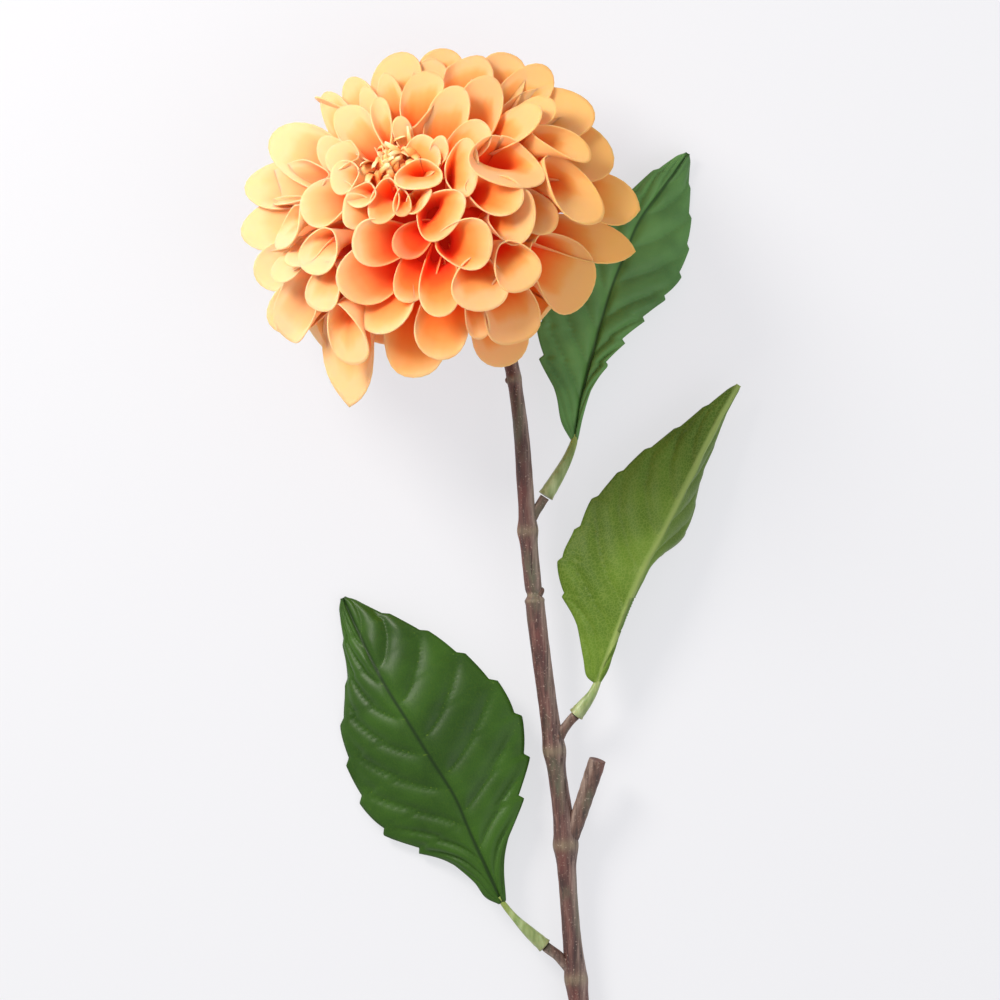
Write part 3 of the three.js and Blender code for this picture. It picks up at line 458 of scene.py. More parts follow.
def petal_frames(meet, lip, width, depth, lift, foot=None, fullness=ROOT_FULLNESS, seen=False):
    """The mouth's middle, the root, half the mouth's length and width, and the rise, of N petals.

    The mouth runs from the closed point, sunk by its depth, to the lip. The root lies a fixed reach
    from the fan point towards the closed point, or at a given foot. The flare is the power of the
    petal's opening: 1 + 1 / (the floor's depth at the mouth's middle as a share of the rise)."""
    outward = unit((meet + lip) / 2.0 - FAN_POINT)
    closed = meet + outward * (lift - depth)[:, None]
    tip = lip + outward * lift[:, None]
    middle = (closed + tip) / 2.0
    root = FAN_POINT + unit(closed - FAN_POINT) * ROOT_REACH if foot is None else foot
    along = (tip - closed) / 2.0
    rise = middle - root
    across = unit(np.cross(rise, along))
    width = np.where(seen, width * seen_widening(across, along), width)
    floor = FLOOR_DEPTH * 2.0 * np.linalg.norm(along, axis=1) / np.linalg.norm(rise, axis=1)
    return {
        "middle": middle, "root": root, "long": along, "rise": rise,
        "across": across * (width / 2.0)[:, None],
        "fullness": np.full(len(meet), fullness),
        "flare": np.clip(1.0 + 1.0 / floor, LEAST_FLARE, MOST_FLARE),
        "drop": np.clip(MARGIN_DROP * (depth - UNTUCKED_DEPTH), 0.0, MOST_MARGIN_DROP),
        "point": np.zeros(len(meet)),
    }


def joined_frames(groups):
    """Several lots of petals as one."""
    return {key: np.concatenate([group[key] for group in groups]) for key in groups[0]}


def pressed(height):
    """Heights below the surface pressed flat on it: a parabola from -d to d, level below, as is above."""
    bent = (height + PRESS_DEPTH) ** 2 / (4.0 * PRESS_DEPTH)
    return np.where(height > PRESS_DEPTH, height, np.where(height < -PRESS_DEPTH, 0.0, bent))


def petal_sheets(frames, cells, draws, lowest):
    """N petals as (N, rows, columns, 3) sheets, each a blade rolled into a cup.

    The share u runs over the blade from margin to margin and is the angle round the cup over a half
    turn. The share v runs from the root to the rim. The margins run straight from the root to the
    closed point. The keel opposite them leaves that line as t v + (1 - t) v^flare of the mouth's length,
    with the throat's share t, and the width grows as b v + (1 - b) v^(flare / 2), with the breadth's
    share b, so the blade is a narrow throat that opens into a wide spoon. On top of that the margins
    curl in, the rim rolls out over its last seventh and waves in a slow sine, the corners of a tucked
    petal hang, and the lip is drawn into a soft point."""
    count = len(frames["middle"])
    rows, columns = cells
    u = np.linspace(-1.0, 1.0, columns)[None, None, :]
    w = np.linspace(0.0, 1.0, rows)[None, :, None]
    v = lowest + (1.0 - lowest) * (1.0 - (1.0 - w) ** ROW_CROWDING)
    lap, tip, wave, beat, phase, skew = (per_sheet(draws[:, k]) for k in range(6))
    fullness, flare = per_sheet(frames["fullness"]), per_sheet(frames["flare"])
    throat = THROAT_SHARE * v + (1.0 - THROAT_SHARE) * v ** flare
    throat = fullness + (1.0 - fullness) * throat
    breadth = BREADTH_SHARE * v + (1.0 - BREADTH_SHARE) * v ** (flare / 2.0)
    breadth = fullness + (1.0 - fullness) * breadth
    turn = np.pi * (u * (1.0 + 0.02 * lap) + 0.03 * skew * np.sin(np.pi * u) * v)
    rim = ease(v, 0.86, 1.0)
    front = 0.5 + 0.5 * np.cos(turn)
    size = per_sheet(np.linalg.norm(frames["long"], axis=1))
    roll = rim ** 2 * (0.35 + 0.65 * front) / size
    stretch = 1.0 + ROLL_OUT * roll
    inward = 0.06 * ease(np.abs(u), 0.8, 1.0) * ease(v, 0.35, 0.9)
    local = {key: frames[key][:, None, None, :] for key in ("root", "rise", "long", "across")}
    place = (
        local["root"]
        + (local["rise"] - local["long"]) * v[..., None]
        + local["long"] * (throat * (1.0 + np.cos(turn) * stretch + inward))[..., None]
        + local["across"] * (breadth * stretch * np.sin(turn) * mouth_breadth(turn))[..., None]
    )
    up, ahead = unit(local["rise"]), unit(local["long"])
    ripple = wave * rim * np.sin(2.0 * np.pi * (beat * u + phase))
    corner = ease(np.abs(u), 0.45, 1.0) * ease(v, 0.55, 1.0) * per_sheet(frames["drop"])
    keel = np.exp(-((u / 0.3) ** 2))
    point = per_sheet(frames["point"]) * np.exp(-np.abs(u) / 0.11)
    place = place + up * (0.7 * ripple - ROLL_DOWN * roll * size * front)[..., None]
    place = place - up * corner[..., None]
    place = place + ahead * (tip * keel * v ** 6 + point * v ** 8)[..., None]
    marks = {
        "rise": np.broadcast_to(v, (count, rows, columns)),
        "across": np.broadcast_to(u, (count, rows, columns)),
    }
    return place, marks


def shelled_petals(name, frames, cells, draws, tones, lowest):
    """Petal sheets given a thickness, as one object.

    Each sheet is set off both ways by half its thickness along its normals, and both faces are pressed
    flat where they would reach under the surface."""
    sheets, marks = petal_sheets(frames, cells, draws, lowest)
    sheets = sheets + BLOOM_MIDDLE
    normals = surface_normals(sheets)
    outwards = np.sum(normals * (sheets - sheets.mean(axis=(1, 2), keepdims=True)), axis=-1)
    turn = np.sign(outwards.mean(axis=(1, 2)))
    half = normals * turn[:, None, None, None] * (PETAL_THICKNESS / 2.0)
    outer, inner = sheets + half, sheets - half
    outer[..., 2] = pressed(outer[..., 2])
    inner[..., 2] = PETAL_THICKNESS + pressed(inner[..., 2] - PETAL_THICKNESS)
    points, faces = closed_shells(outer, inner, turn <= 0)
    both = (len(sheets), 2, cells[0] * cells[1])
    away = np.linalg.norm(frames["middle"][:, :2] - HEART, axis=1)
    uv = np.stack([on_both_faces(marks["across"]) * 0.5 + 0.5, on_both_faces(marks["rise"])], axis=-1)
    return new_mesh_object(name, points, faces, {
        "rise": on_both_faces(marks["rise"]),
        "inside": np.broadcast_to(np.array([0.0, 1.0])[None, :, None], both),
        "tone": np.broadcast_to(per_sheet(tones), both),
        "pale": np.broadcast_to(per_sheet(ease(away, *PALE_FROM_TO)), both),
    }, uv)


def petal_draws(count):
    """Six random shares for each petal: lap, tip, ripple size, ripple beat, ripple phase, skew."""
    return np.stack([
        chance.uniform(0.3, 1.4, count), chance.uniform(-0.4, 0.9, count), chance.uniform(0.2, 1.0, count),
        chance.uniform(0.8, 2.2, count), chance.uniform(0.0, 1.0, count), chance.uniform(-1.0, 1.0, count),
    ], axis=1)


def spiral_petals(middle):
    """The angles, turns and sways of the petals that stand behind the seen ones, by the golden angle.

    Of the places on the spiral, the hidden ones are kept, those with no seen petal's middle near, and
    those past an angle in a notch."""
    steps = np.arange(SPIRAL_COUNT)
    angle = np.arccos(SPIRAL_FROM + (SPIRAL_TO - SPIRAL_FROM) * (steps + 0.5) / SPIRAL_COUNT)
    turn = steps * GOLDEN_ANGLE
    sway = SPIRAL_SWAY * (repeatable_draw(steps) - 0.5)
    places = on_ball(angle, turn)
    lonely = np.min(np.linalg.norm(places[:, None] - middle[None], axis=2), axis=1) > LONELY_REACH
    beside = beside_notches(places)
    kept = (faces_up(angle, turn) < FACE_LIMIT) | (lonely & beside) | (~beside & (angle > NOTCH_FROM))
    return angle[kept], turn[kept], sway[kept]


def skirt_rows():
    """The frames of the petals in each row that closes the bloom's back, with their feet in rings."""
    for row, (degrees, number, root_radius) in enumerate(SKIRT_ROWS):
        turn = 2.0 * np.pi * (np.arange(number) + row / 2.0) / number
        angle = np.full(number, np.radians(degrees))
        kept = faces_up(angle, turn) < FACE_LIMIT
        angle, turn = angle[kept], turn[kept]
        plain = np.ones(len(angle))
        foot = root_radius * ring_points(turn) - SKIRT_ROOT_DROP * BLOOM_AXIS
        yield petal_frames(
            on_back(angle - BACK_HALF_LENGTH, turn, angle),
            on_back(angle + BACK_HALF_LENGTH / 2.0, turn, angle),
            SKIRT_WIDTH * plain, BACK_DEPTH * plain, 0.0 * plain, foot, SKIRT_FULLNESS,
        )


def build_petals(petal_look):
    """The petals that face up, and the petals behind."""
    cx, cy, lx, ly, width, depth, lift = FACE_PETALS.T
    meet, lip = ball_face(cx, cy), ball_face(lx, ly)
    angle, turn, sway = spiral_petals((meet + lip) / 2.0)
    plain = np.ones(len(angle))
    meet = np.concatenate([meet, on_back(angle - BACK_HALF_LENGTH, turn - sway, angle)])
    lip = np.concatenate([lip, on_back(angle + BACK_HALF_LENGTH, turn + sway, angle)])
    width = np.concatenate([width, BACK_WIDTH * plain])
    depth = np.concatenate([depth, BACK_DEPTH * plain])
    lift = np.concatenate([lift, -plain])
    seen = np.arange(len(meet)) < len(FACE_PETALS)
    depth = tucked_depths(meet, lip, width, depth, lift, seen)
    placed = petal_frames(meet, lip, width, depth, lift, seen=seen)
    front, sides = ({key: values[part] for key, values in placed.items()} for part in (seen, ~seen))
    front["point"][list(POINTED)] = list(POINTED.values())
    behind = joined_frames([sides, *skirt_rows()])
    for name, frames, cells, lowest in (
        ("petals_front", front, FRONT_CELLS, LOWEST_SEEN),
        ("petals_behind", behind, BEHIND_CELLS, LOWEST_BEHIND),
    ):
        count = len(frames["middle"])
        draws, tones = petal_draws(count), chance.uniform(-1, 1, count)
        petals = shelled_petals(name, frames, cells, draws, tones, lowest)
        finish_piece(petals, petal_look, ["bloom_petals"])


def ring_points(around):
    """Points of the unit ring about the bloom's axis: cos out + sin side."""
    return np.cos(around)[:, None] * AXIS_OUT + np.sin(around)[:, None] * AXIS_SIDE


def turned_grid(radius, rise, around):
    """A profile turned about the bloom's axis: radius times the ring plus rise times the axis."""
    ring = ring_points(around)
    return BLOOM_MIDDLE + radius[:, None, None] * ring[None] + rise[:, None, None] * BLOOM_AXIS


def full_turn(count):
    """Equal angles over a full turn."""
    return np.linspace(0.0, 2.0 * np.pi, count, endpoint=False)


def build_core(petal_look):
    """The core: a smooth profile turned about the bloom's axis, a little inside the solid one."""
    profile = smooth_path(CORE, np.linspace(0.0, 1.0, CORE_CELLS[0]))
    radius = CORE_SCALE * np.maximum(profile[:, 0], LEAST_RADIUS)
    grid = turned_grid(radius, CORE_SCALE * profile[:, 1], full_turn(CORE_CELLS[1]))
    core = new_mesh_object("petal_core", grid, grid_quads(*CORE_CELLS, closed=True), {
        "rise": np.full(CORE_CELLS, CORE_RISE), "inside": np.ones(CORE_CELLS),
        "tone": np.full(CORE_CELLS, -1.0), "pale": np.zeros(CORE_CELLS),
    })
    finish_piece(core, petal_look, ["bloom_petals"])


# The eye's ribbons: their number, the small dome that their feet stand on, half their thickness and
# their cells.
TUFT_COUNT = 46
TUFT_RADIUS = 8.2
TUFT_TOP = 30.5
TUFT_FALL = 4.0
TUFT_HALF = 0.12
TUFT_CELLS = (14, 5)
# The spread of their headings in radians, their least and greatest bend, length, half width and twist,
# and how much longer the outer ones are.
TUFT_WANDER = 1.3
TUFT_BENDS = (1.0, 3.8)
TUFT_LENGTHS = (5.0, 8.0)
TUFT_WIDTHS = (0.9, 1.8)
TUFT_TWISTS = (-1.6, 1.6)
TUFT_GROWTH = 1.5
# The dome under them: its radius, foot and height, and its cells.
BUTTON_RADIUS = 7.2
BUTTON_FOOT = 14.5
BUTTON_HEIGHT = 15.0
BUTTON_CELLS = (15, 32)


def build_tuft(tuft_look):
    """The eye: curled ribbons whose feet lie on a golden spiral over a small dome.

    A ribbon's spine is an arc of its own length and bend, in the plane of the axis and a random lean:
    it rises with sin(bend s) / bend and leans with (1 - cos(bend s)) / bend. Its width turns about
    the spine as it goes, and narrows towards a blunt tip."""
    steps = np.arange(TUFT_COUNT)
    share = np.sqrt((steps + 0.5) / TUFT_COUNT)
    turn = steps * GOLDEN_ANGLE
    foot = (
        TUFT_RADIUS * share[:, None] * ring_points(turn)
        + (TUFT_TOP - TUFT_FALL * share ** 2)[:, None] * BLOOM_AXIS
    )
    lean = ring_points(turn + np.pi + TUFT_WANDER * chance.standard_normal(TUFT_COUNT))
    side = np.cross(BLOOM_AXIS, lean)
    bend = per_sheet(chance.uniform(*TUFT_BENDS, TUFT_COUNT))
    length = per_sheet(chance.uniform(*TUFT_LENGTHS, TUFT_COUNT) + TUFT_GROWTH * share)
    wide = per_sheet(chance.uniform(*TUFT_WIDTHS, TUFT_COUNT))
    twist = per_sheet(chance.uniform(*TUFT_TWISTS, TUFT_COUNT))
    along = np.linspace(0.0, 1.0, TUFT_CELLS[0])[None, :, None]
    over = np.linspace(-1.0, 1.0, TUFT_CELLS[1])[None, None, :]
    rise = length * np.sin(bend * along) / bend
    reach = length * (1.0 - np.cos(bend * along)) / bend
    half = wide * (1.0 - 0.45 * along ** 2) * over
    hollow = 0.3 * wide * over ** 2
    foot, lean, side = (vectors[:, None, None, :] for vectors in (foot, lean, side))
    facing = np.cos(bend * along)[..., None] * lean - np.sin(bend * along)[..., None] * BLOOM_AXIS
    place = (
        BLOOM_MIDDLE + foot + rise[..., None] * BLOOM_AXIS + reach[..., None] * lean
        + (half * np.cos(twist * along))[..., None] * side
        + (half * np.sin(twist * along) + hollow)[..., None] * facing
    )
    normals = surface_normals(place)
    points, faces = closed_shells(place + TUFT_HALF * normals, place - TUFT_HALF * normals, False)
    rise_mark = on_both_faces(np.broadcast_to(along, place.shape[:3]))
    tone = per_sheet(chance.uniform(-1, 1, TUFT_COUNT))
    tuft = new_mesh_object(
        "eye_tuft", points, faces, {"rise": rise_mark, "tone": np.broadcast_to(tone, rise_mark.shape)})
    finish_piece(tuft, tuft_look, ["bloom_centre"])


def build_button(tuft_look):
    """The small dome under the ribbons: its radius falls with cos s and its height grows with
    (sin s)^0.7, and a flat foot closes it."""
    share = np.linspace(0.0, np.pi / 2.0, BUTTON_CELLS[0] - 1)
    radius = BUTTON_RADIUS * np.cos(share) + LEAST_RADIUS
    rise = BUTTON_FOOT + BUTTON_HEIGHT * np.sin(share) ** 0.7
    dome = turned_grid(
        np.concatenate([[LEAST_RADIUS], radius]), np.concatenate([[BUTTON_FOOT], rise]),
        full_turn(BUTTON_CELLS[1]),
    )
    button = new_mesh_object(
        "eye_button", dome, grid_quads(*BUTTON_CELLS, closed=True),
        {"rise": np.full(BUTTON_CELLS, -0.4), "tone": np.zeros(BUTTON_CELLS)},
    )
    finish_piece(button, tuft_look, ["bloom_centre"])


# The calyx: its cup as [radius, height over the cup's brim], and its cells.
CUP = [[LEAST_RADIUS, -CALYX_LENGTH], [3.4, -CALYX_LENGTH], [4.6, -7.6], [6.5, -5.2], [9.6, -2.0],
       [10.5, -0.2], [9.0, 0.0], [LEAST_RADIUS, 0.0]]
CUP_CELLS = (44, 48)
# The bracts, in two rows by turns: their number, half their thickness, their cells, and for the outer
# and the inner row the length and how far the tip bends back.
BRACT_COUNT = 16
BRACT_HALF = 0.25
BRACT_CELLS = (16, 9)
BRACT_LENGTHS = (11.5, 8.5)
BRACT_BENDS = (3.4, 0.9)


def build_calyx(calyx_look):
    """A turned cup, with two rows of bracts that bend back from its rim.

    A bract's half width is a leaf form, (1 - s)^0.6 (0.55 + 1.1 s) times 3.3, and its spine runs out
    and then back towards the stem."""
    profile = smooth_path(np.array(CUP) - [0.0, CALYX_DROP], np.linspace(0.0, 1.0, CUP_CELLS[0]))
    cup = new_mesh_object(
        "calyx_cup", turned_grid(profile[:, 0], profile[:, 1], full_turn(CUP_CELLS[1])),
        grid_quads(*CUP_CELLS, closed=True),
        {"rise": np.broadcast_to(np.linspace(0, 1, CUP_CELLS[0])[:, None], CUP_CELLS),
         "tone": np.zeros(CUP_CELLS)},
    )
    finish_piece(cup, calyx_look, ["calyx"])
    steps = np.arange(BRACT_COUNT)
    out = ring_points(2.0 * np.pi * steps / BRACT_COUNT)
    side = np.cross(BLOOM_AXIS, out)
    s = np.linspace(0.0, 1.0, BRACT_CELLS[0])[None, :, None]
    t = np.linspace(-1.0, 1.0, BRACT_CELLS[1])[None, None, :]
    long, back = (per_sheet(np.where(steps % 2 == 0, *pair)) for pair in (BRACT_LENGTHS, BRACT_BENDS))
    reach = 5.4 + long * s * (1.0 - 0.06 * s)
    lift = -CALYX_DROP - 3.4 + 2.6 * np.sin(s * 2.2) - back * s ** 2
    half = 3.3 * (1.0 - s) ** 0.6 * (0.55 + 1.1 * s) * t
    hollow = 0.5 * t ** 2 * (1.0 - s)
    place = (
        BLOOM_MIDDLE + reach[..., None] * out[:, None, None, :]
        + half[..., None] * side[:, None, None, :] + (lift + hollow)[..., None] * BLOOM_AXIS
    )
    normals = surface_normals(place)
    points, faces = closed_shells(place - BRACT_HALF * normals, place + BRACT_HALF * normals, True)
    mark = on_both_faces(np.broadcast_to(s, place.shape[:3]))
    tone = per_sheet(chance.uniform(-1, 1, BRACT_COUNT))
    bracts = new_mesh_object(
        "calyx_bracts", points, faces, {"rise": mark, "tone": np.broadcast_to(tone, mark.shape)})
    finish_piece(bracts, calyx_look, ["calyx"])


# ---- Stem ----

# The stem starts this far under the calyx.
NECK_GAP = 0.35
NECK = BLOOM_MIDDLE - (CALYX_DROP + CALYX_LENGTH + NECK_GAP) * BLOOM_AXIS
BEND = NECK - 3.0 * BLOOM_AXIS
# [x, y, z, radius] down the stem, from under the calyx to the cut end.
STEM = [
    [*NECK, 3.1], [*BEND, 2.9], [16.9, -24, 15.9, 2.5], [20.2, -33, 15.2, 2.25], [23, -43.2, 15, 2.2],
    [24.5, -52, 14.8, 2.1], [26, -64, 14.5, 2.3], [26.9, -76, 14.1, 2.5], [27.7, -88, 13.8, 2.6],
    [27.9, -92.5, 13.5, 3], [28.3, -97, 13.2, 2.7], [29.6, -110, 12.4, 2.5], [29.8, -112, 12.3, 2.3],
    [30, -114, 12.2, 2.75], [31.5, -127, 11.4, 2.85], [34.6, -150, 10, 2.9], [35.9, -159, 9.5, 3.3],
    [36.6, -165, 9.1, 2.8], [38.4, -178, 8.4, 3], [39.4, -188, 7.8, 3.5], [39.7, -195, 7.4, 2.9],
    [41.2, -215, 6.2, 2.8], [42.6, -228.5, 5.4, 3.3], [43.5, -236, 4.8, 3], [48.2, -272, 2.7, 3.1],
]
STEM_CELLS = (520, 36)
# The side branch, the stubs that carry the sleeves and the bud nubs, each as [x, y, z, radius].
TWIGS = {
    "side_branch": [[40.5, -186, 8, 2.5], [43.5, -178, 9.5, 2.5], [48.2, -164, 12.5, 2.6],
                    [48.9, -161.8, 13, 2.5]],
    "stub_upper": [[28.3, -90, 13.5, 1.8], [30.8, -86, 13.4, 1.5], [33, -82.6, 13.2, 1.45]],
    "stub_middle": [[36, -157, 9.5, 1.9], [39.5, -151.5, 10.2, 1.5], [42.2, -148.4, 11, 1.5]],
    "stub_lower": [[42.3, -227, 5.5, 2], [37.5, -221.5, 6.5, 1.6], [33.3, -218.2, 7.4, 1.6]],
    "nub_top": [[22.6, -47.5, 14.9, 1.3], [21.2, -46.8, 15.2, 1]],
    "nub_neck": [[31, -111.5, 12.4, 1.6], [32.6, -110, 12.6, 1]],
    "nub_middle": [[36.5, -156, 10.5, 1.4], [37, -154.4, 12.6, 0.8]],
}
BRANCH_CELLS = (60, 24)
STUB_CELLS = (24, 24)
# Knots: [y, how far they stand out, half length], in millimetres.
KNOTS = [[-46.8, 0.35, 1.6], [-92.5, 0.35, 2.2], [-111.9, -0.25, 0.9], [-113.6, 0.3, 0.7],
         [-159.0, 0.4, 2.4], [-187.5, 0.4, 2.6], [-228.0, 0.4, 2.4]]
# How high the flutes and the ripple of the bark are, how deep the ends are dished, and how much of a
# knot's colour the twigs have.
FLUTE_HEIGHT = 0.045
RIPPLE_HEIGHT = 0.03
STEM_DISH = 0.25
BRANCH_DISH = 0.35
STUB_DISH = 0.2
TWIG_KNOT = 0.25


def tube(stops, rows, columns):
    """Rings along a smooth path: centre + radius (cos a side + sin a above), with side level.

    Side is the cross product of the path's direction and straight up, and above is square to both."""
    path = smooth_path(stops, np.linspace(0.0, 1.0, rows))
    ahead = unit(np.gradient(path[:, :3], axis=0))
    side = unit(np.cross(ahead, [0.0, 0.0, 1.0]))
    above = np.cross(side, ahead)
    around = full_turn(columns)
    ring = np.cos(around)[None, :, None] * side[:, None] + np.sin(around)[None, :, None] * above[:, None]
    radius = np.repeat(path[:, 3:4], columns, axis=1)
    return path, ahead, ring, around[None], radius


def capped_tube(path, ahead, ring, radius, dish):
    """The tube's grid with three more rings at each end, so that the ends close on a shallow dish."""
    body = path[:, None, :3] + radius[..., None] * ring
    ends = []
    for end, sign in ((0, 1.0), (-1, -1.0)):
        rim = radius[end][:, None]
        shallow = path[end, :3] + sign * dish * ahead[end]
        ends.append([path[end, :3] + 0.82 * rim * ring[end],
                     shallow + 0.35 * rim * ring[end], shallow + 0.01 * rim * ring[end]])
    start, stop = ends
    return np.concatenate([np.stack(start[::-1]), body, np.stack(stop)])


def build_stem(bark_look):
    """The woody stem: a tube whose radius carries knots, flutes and a fine ripple.

    Each knot adds its height times exp(-(distance / half length)^2), drawn out on two sides. Flutes
    are slow sines round the stem that twist along it."""
    path, ahead, ring, around, radius = tube(STEM, *STEM_CELLS)
    y = path[:, 1][:, None]
    for place, height, half in KNOTS:
        swell = np.exp(-(((y - place) / half) ** 2))
        radius = radius + height * swell * (0.8 + 0.4 * np.cos(around * 2.0 + place))
    flute = np.sin(around * 5.0 + 0.05 * y) + 0.7 * np.sin(around * 8.0 - 0.11 * y + 1.7)
    ripple = np.sin(0.9 * y + 2.0 * np.sin(around + 0.13 * y)) * np.sin(0.23 * y + around * 2.0)
    radius = radius + FLUTE_HEIGHT * flute + RIPPLE_HEIGHT * ripple
    grid = capped_tube(path, ahead, ring, radius, STEM_DISH)
    grid[..., 2] = np.maximum(grid[..., 2], 0.0)
    knot = sum(np.exp(-(((y - place) / (0.7 * half)) ** 2)) for place, _, half in KNOTS)
    bark_piece("stem_bark", grid, knot, bark_look)


def build_twigs(bark_look):
    """The side branch, the stubs and the nubs: tubes with slow flutes, and a nub's end is round."""
    for name, stops in TWIGS.items():
        branch = name == "side_branch"
        cells = BRANCH_CELLS if branch else STUB_CELLS
        path, ahead, ring, around, radius = tube(stops, *cells)
        y = path[:, 1][:, None]
        radius = radius + 0.05 * np.sin(around * 4.0 + 0.3 * y) + 0.04 * np.sin(1.9 * y + around)
        if name.startswith("nub"):
            share = np.linspace(0.0, 1.0, cells[0])[:, None]
            radius = radius * np.sqrt(np.maximum(1.0 - (share * 0.97) ** 4, 0.02))
        grid = capped_tube(path, ahead, ring, radius, BRANCH_DISH if branch else STUB_DISH)
        bark_piece(name, grid, np.full((cells[0], 1), TWIG_KNOT), bark_look)


def bark_piece(name, grid, knot, look):
    """One tube of bark with its marks: how near a knot it is, and whether it is a cut end."""
    rows, columns = grid.shape[:2]
    cut = np.zeros((rows, columns))
    cut[:3] = cut[-3:] = 1.0
    near = np.zeros((rows, columns))
    near[3:-3] = np.broadcast_to(knot, (rows - 6, columns))
    u = np.broadcast_to(np.linspace(0, 1, columns)[None], (rows, columns))
    v = np.broadcast_to(np.linspace(0, 1, rows)[:, None], (rows, columns))
    piece = new_mesh_object(
        name, grid, grid_quads(rows, columns, closed=True)[:, ::-1],
        {"knot": near, "cut": cut}, np.stack([u, v], axis=-1),
    )
    finish_piece(piece, look, ["stem"])


# The sleeves, each as [x, y, z, radius] from its stub to its blade.
SLEEVES = {
    "upper": [[33.25, -82.2, 13.2, 2.2], [36.5, -77, 12.8, 2], [39.8, -71, 12, 1.5], [41.75, -66, 10.8, 1.1],
              [42.3, -63.6, 10.5, 0.8]],
    "middle": [[42.45, -148.1, 11.1, 2.2], [45, -145, 11.8, 1.9], [47.2, -142, 12.2, 1.4],
               [48.7, -138.9, 12.4, 1.1], [49.7, -136.6, 12.6, 0.8]],
    "lower": [[33, -218, 7.5, 2.1], [28.5, -214, 8.2, 1.8], [24, -209.5, 8.6, 1.1], [20.8, -205.6, 8.6, 0.9],
              [19.2, -203.2, 8.8, 0.7]],
}
SLEEVE_CELLS = (60, 28)
SLEEVE_DISH = 0.1


def build_sleeves(sleeve_look):
    """The pale sleeves: tapering tubes with a collar at the stub and a groove along the top."""
    for place, stops in SLEEVES.items():
        path, ahead, ring, around, radius = tube(stops, *SLEEVE_CELLS)
        share = np.linspace(0.0, 1.0, SLEEVE_CELLS[0])[:, None]
        collar = 0.22 * np.exp(-((share / 0.05) ** 2)) + 0.1 * np.exp(-(((share - 0.13) / 0.04) ** 2))
        groove = -0.16 * np.exp(-(((around - np.pi / 2.0) / 0.35) ** 2)) * ease(share, 0.1, 0.4)
        grid = capped_tube(path, ahead, ring, radius + collar + groove, SLEEVE_DISH)
        rows, columns = grid.shape[:2]
        v = np.broadcast_to(np.linspace(0, 1, rows)[:, None], (rows, columns))
        piece = new_mesh_object(
            "sleeve_" + place, grid, grid_quads(rows, columns, closed=True)[:, ::-1], {"rise": v},
        )
        finish_piece(piece, sleeve_look, ["petiole_" + place])


# ---- Leaves ----

# For each leaf: points of its midrib and of its right and left edges from base to tip, [x, y, z], the
# number and length of its teeth, and how far the midrib stands up, or lies in a valley.
LEAVES = {
    "upper": {
        "rib": [[42, -65.2, 10.5], [44.1, -53.4, 10], [47.1, -41.4, 9.4], [50.7, -28, 8.8],
            [54, -17.4, 8.4], [57, -10, 8], [61.5, 0.6, 7.4], [69, 11.1, 5.6], [76.2, 21.3, 3.4]],
        "right": [[42.7, -65.2, 10.5], [44.5, -58, 10.8], [48.5, -46, 10.6], [55.5, -36, 9.2],
            [64, -26.5, 7], [72.5, -17, 3.6], [76, -6.5, 1.2], [76, 5, 0.5], [76.4, 14, 1.4],
            [76.5, 21.2, 3.4]],
        "left": [[41.3, -65.4, 10.5], [38.2, -60, 11], [36.5, -52, 11.8], [33.2, -42, 12.4],
            [32, -33, 12.4], [33.3, -22.5, 12], [38, -11, 11.4], [46, 0, 10.4], [57.5, 9, 8.6],
            [66, 15.5, 6.2], [75.9, 21.4, 3.4]],
        "teeth": 9, "tooth": 1.8, "ridge": -0.9,
    },
    "middle": {
        "rib": [[49, -138.2, 12.4], [55.5, -122.4, 15.4], [62.1, -106, 17.4], [69, -92.4, 17],
            [76.5, -77.4, 15], [84, -62.4, 12], [91.6, -48.8, 8.4]],
        "right": [[49.8, -138, 12.4], [52, -134.5, 12.5], [53.8, -129, 12.6], [57.2, -117, 12],
            [64.5, -104, 8.2], [73.5, -94.5, 2.6], [78.6, -84, 0.6], [81.4, -73, 2.6], [85.6, -61.5, 6.2],
            [91.9, -48.9, 8.4]],
        "left": [[48.2, -138.4, 12.4], [45.9, -136.5, 12], [44.9, -131, 11.6], [42.5, -120, 11],
            [38.4, -110, 10.4], [38.6, -101, 10], [42.8, -93.5, 10], [47.5, -84, 10.2], [56, -75.5, 10.4],
            [67.5, -66, 10.4], [81, -56, 9.6], [91.3, -48.6, 8.4]],
        "teeth": 9, "tooth": 1.4, "ridge": 0.5,
    },
    "lower": {
        "rib": [[20.2, -204.8, 8.6], [10.5, -184, 10.6], [6, -173.4, 11.6], [-1.5, -161.4, 12.2],
            [-9, -149.4, 11.8], [-16.5, -137.4, 9.8], [-22.5, -125.4, 6.2], [-27.9, -113, 1.8]],
        "right": [[21, -204.4, 8.6], [20.9, -191, 8.6], [24.6, -174, 8], [26.8, -160, 7.8],
            [23.6, -147.5, 8.4], [15.6, -137, 9], [3, -127, 8.6], [-12, -119.6, 6.2],
            [-27.4, -112.8, 1.8]],
        "left": [[19.4, -205.2, 8.6], [15.4, -203.2, 7.8], [12, -198.5, 7], [4, -192.5, 5.4],
            [-6, -188, 3.8], [-16.5, -181, 2.2], [-24, -169, 1.2], [-27, -155, 0.8], [-26.6, -141, 1],
            [-27.4, -127, 1.4], [-28.4, -113.2, 1.8]],
        "teeth": 8, "tooth": 2.2, "ridge": -0.9,
    },
}
# Half the thickness of a blade.
LEAF_HALF = 0.4
# The cells of a blade, from base to tip and from the midrib to one edge.
LEAF_CELLS = (261, 21)
# The teeth start at this share of the length.
TOOTH_FROM = 0.16
# How high the blade arches between the midrib and an edge, puffs up between veins and waves.
LEAF_ARCH = 2.2
QUILT_HEIGHT = 1.5
EDGE_WAVE = 0.7
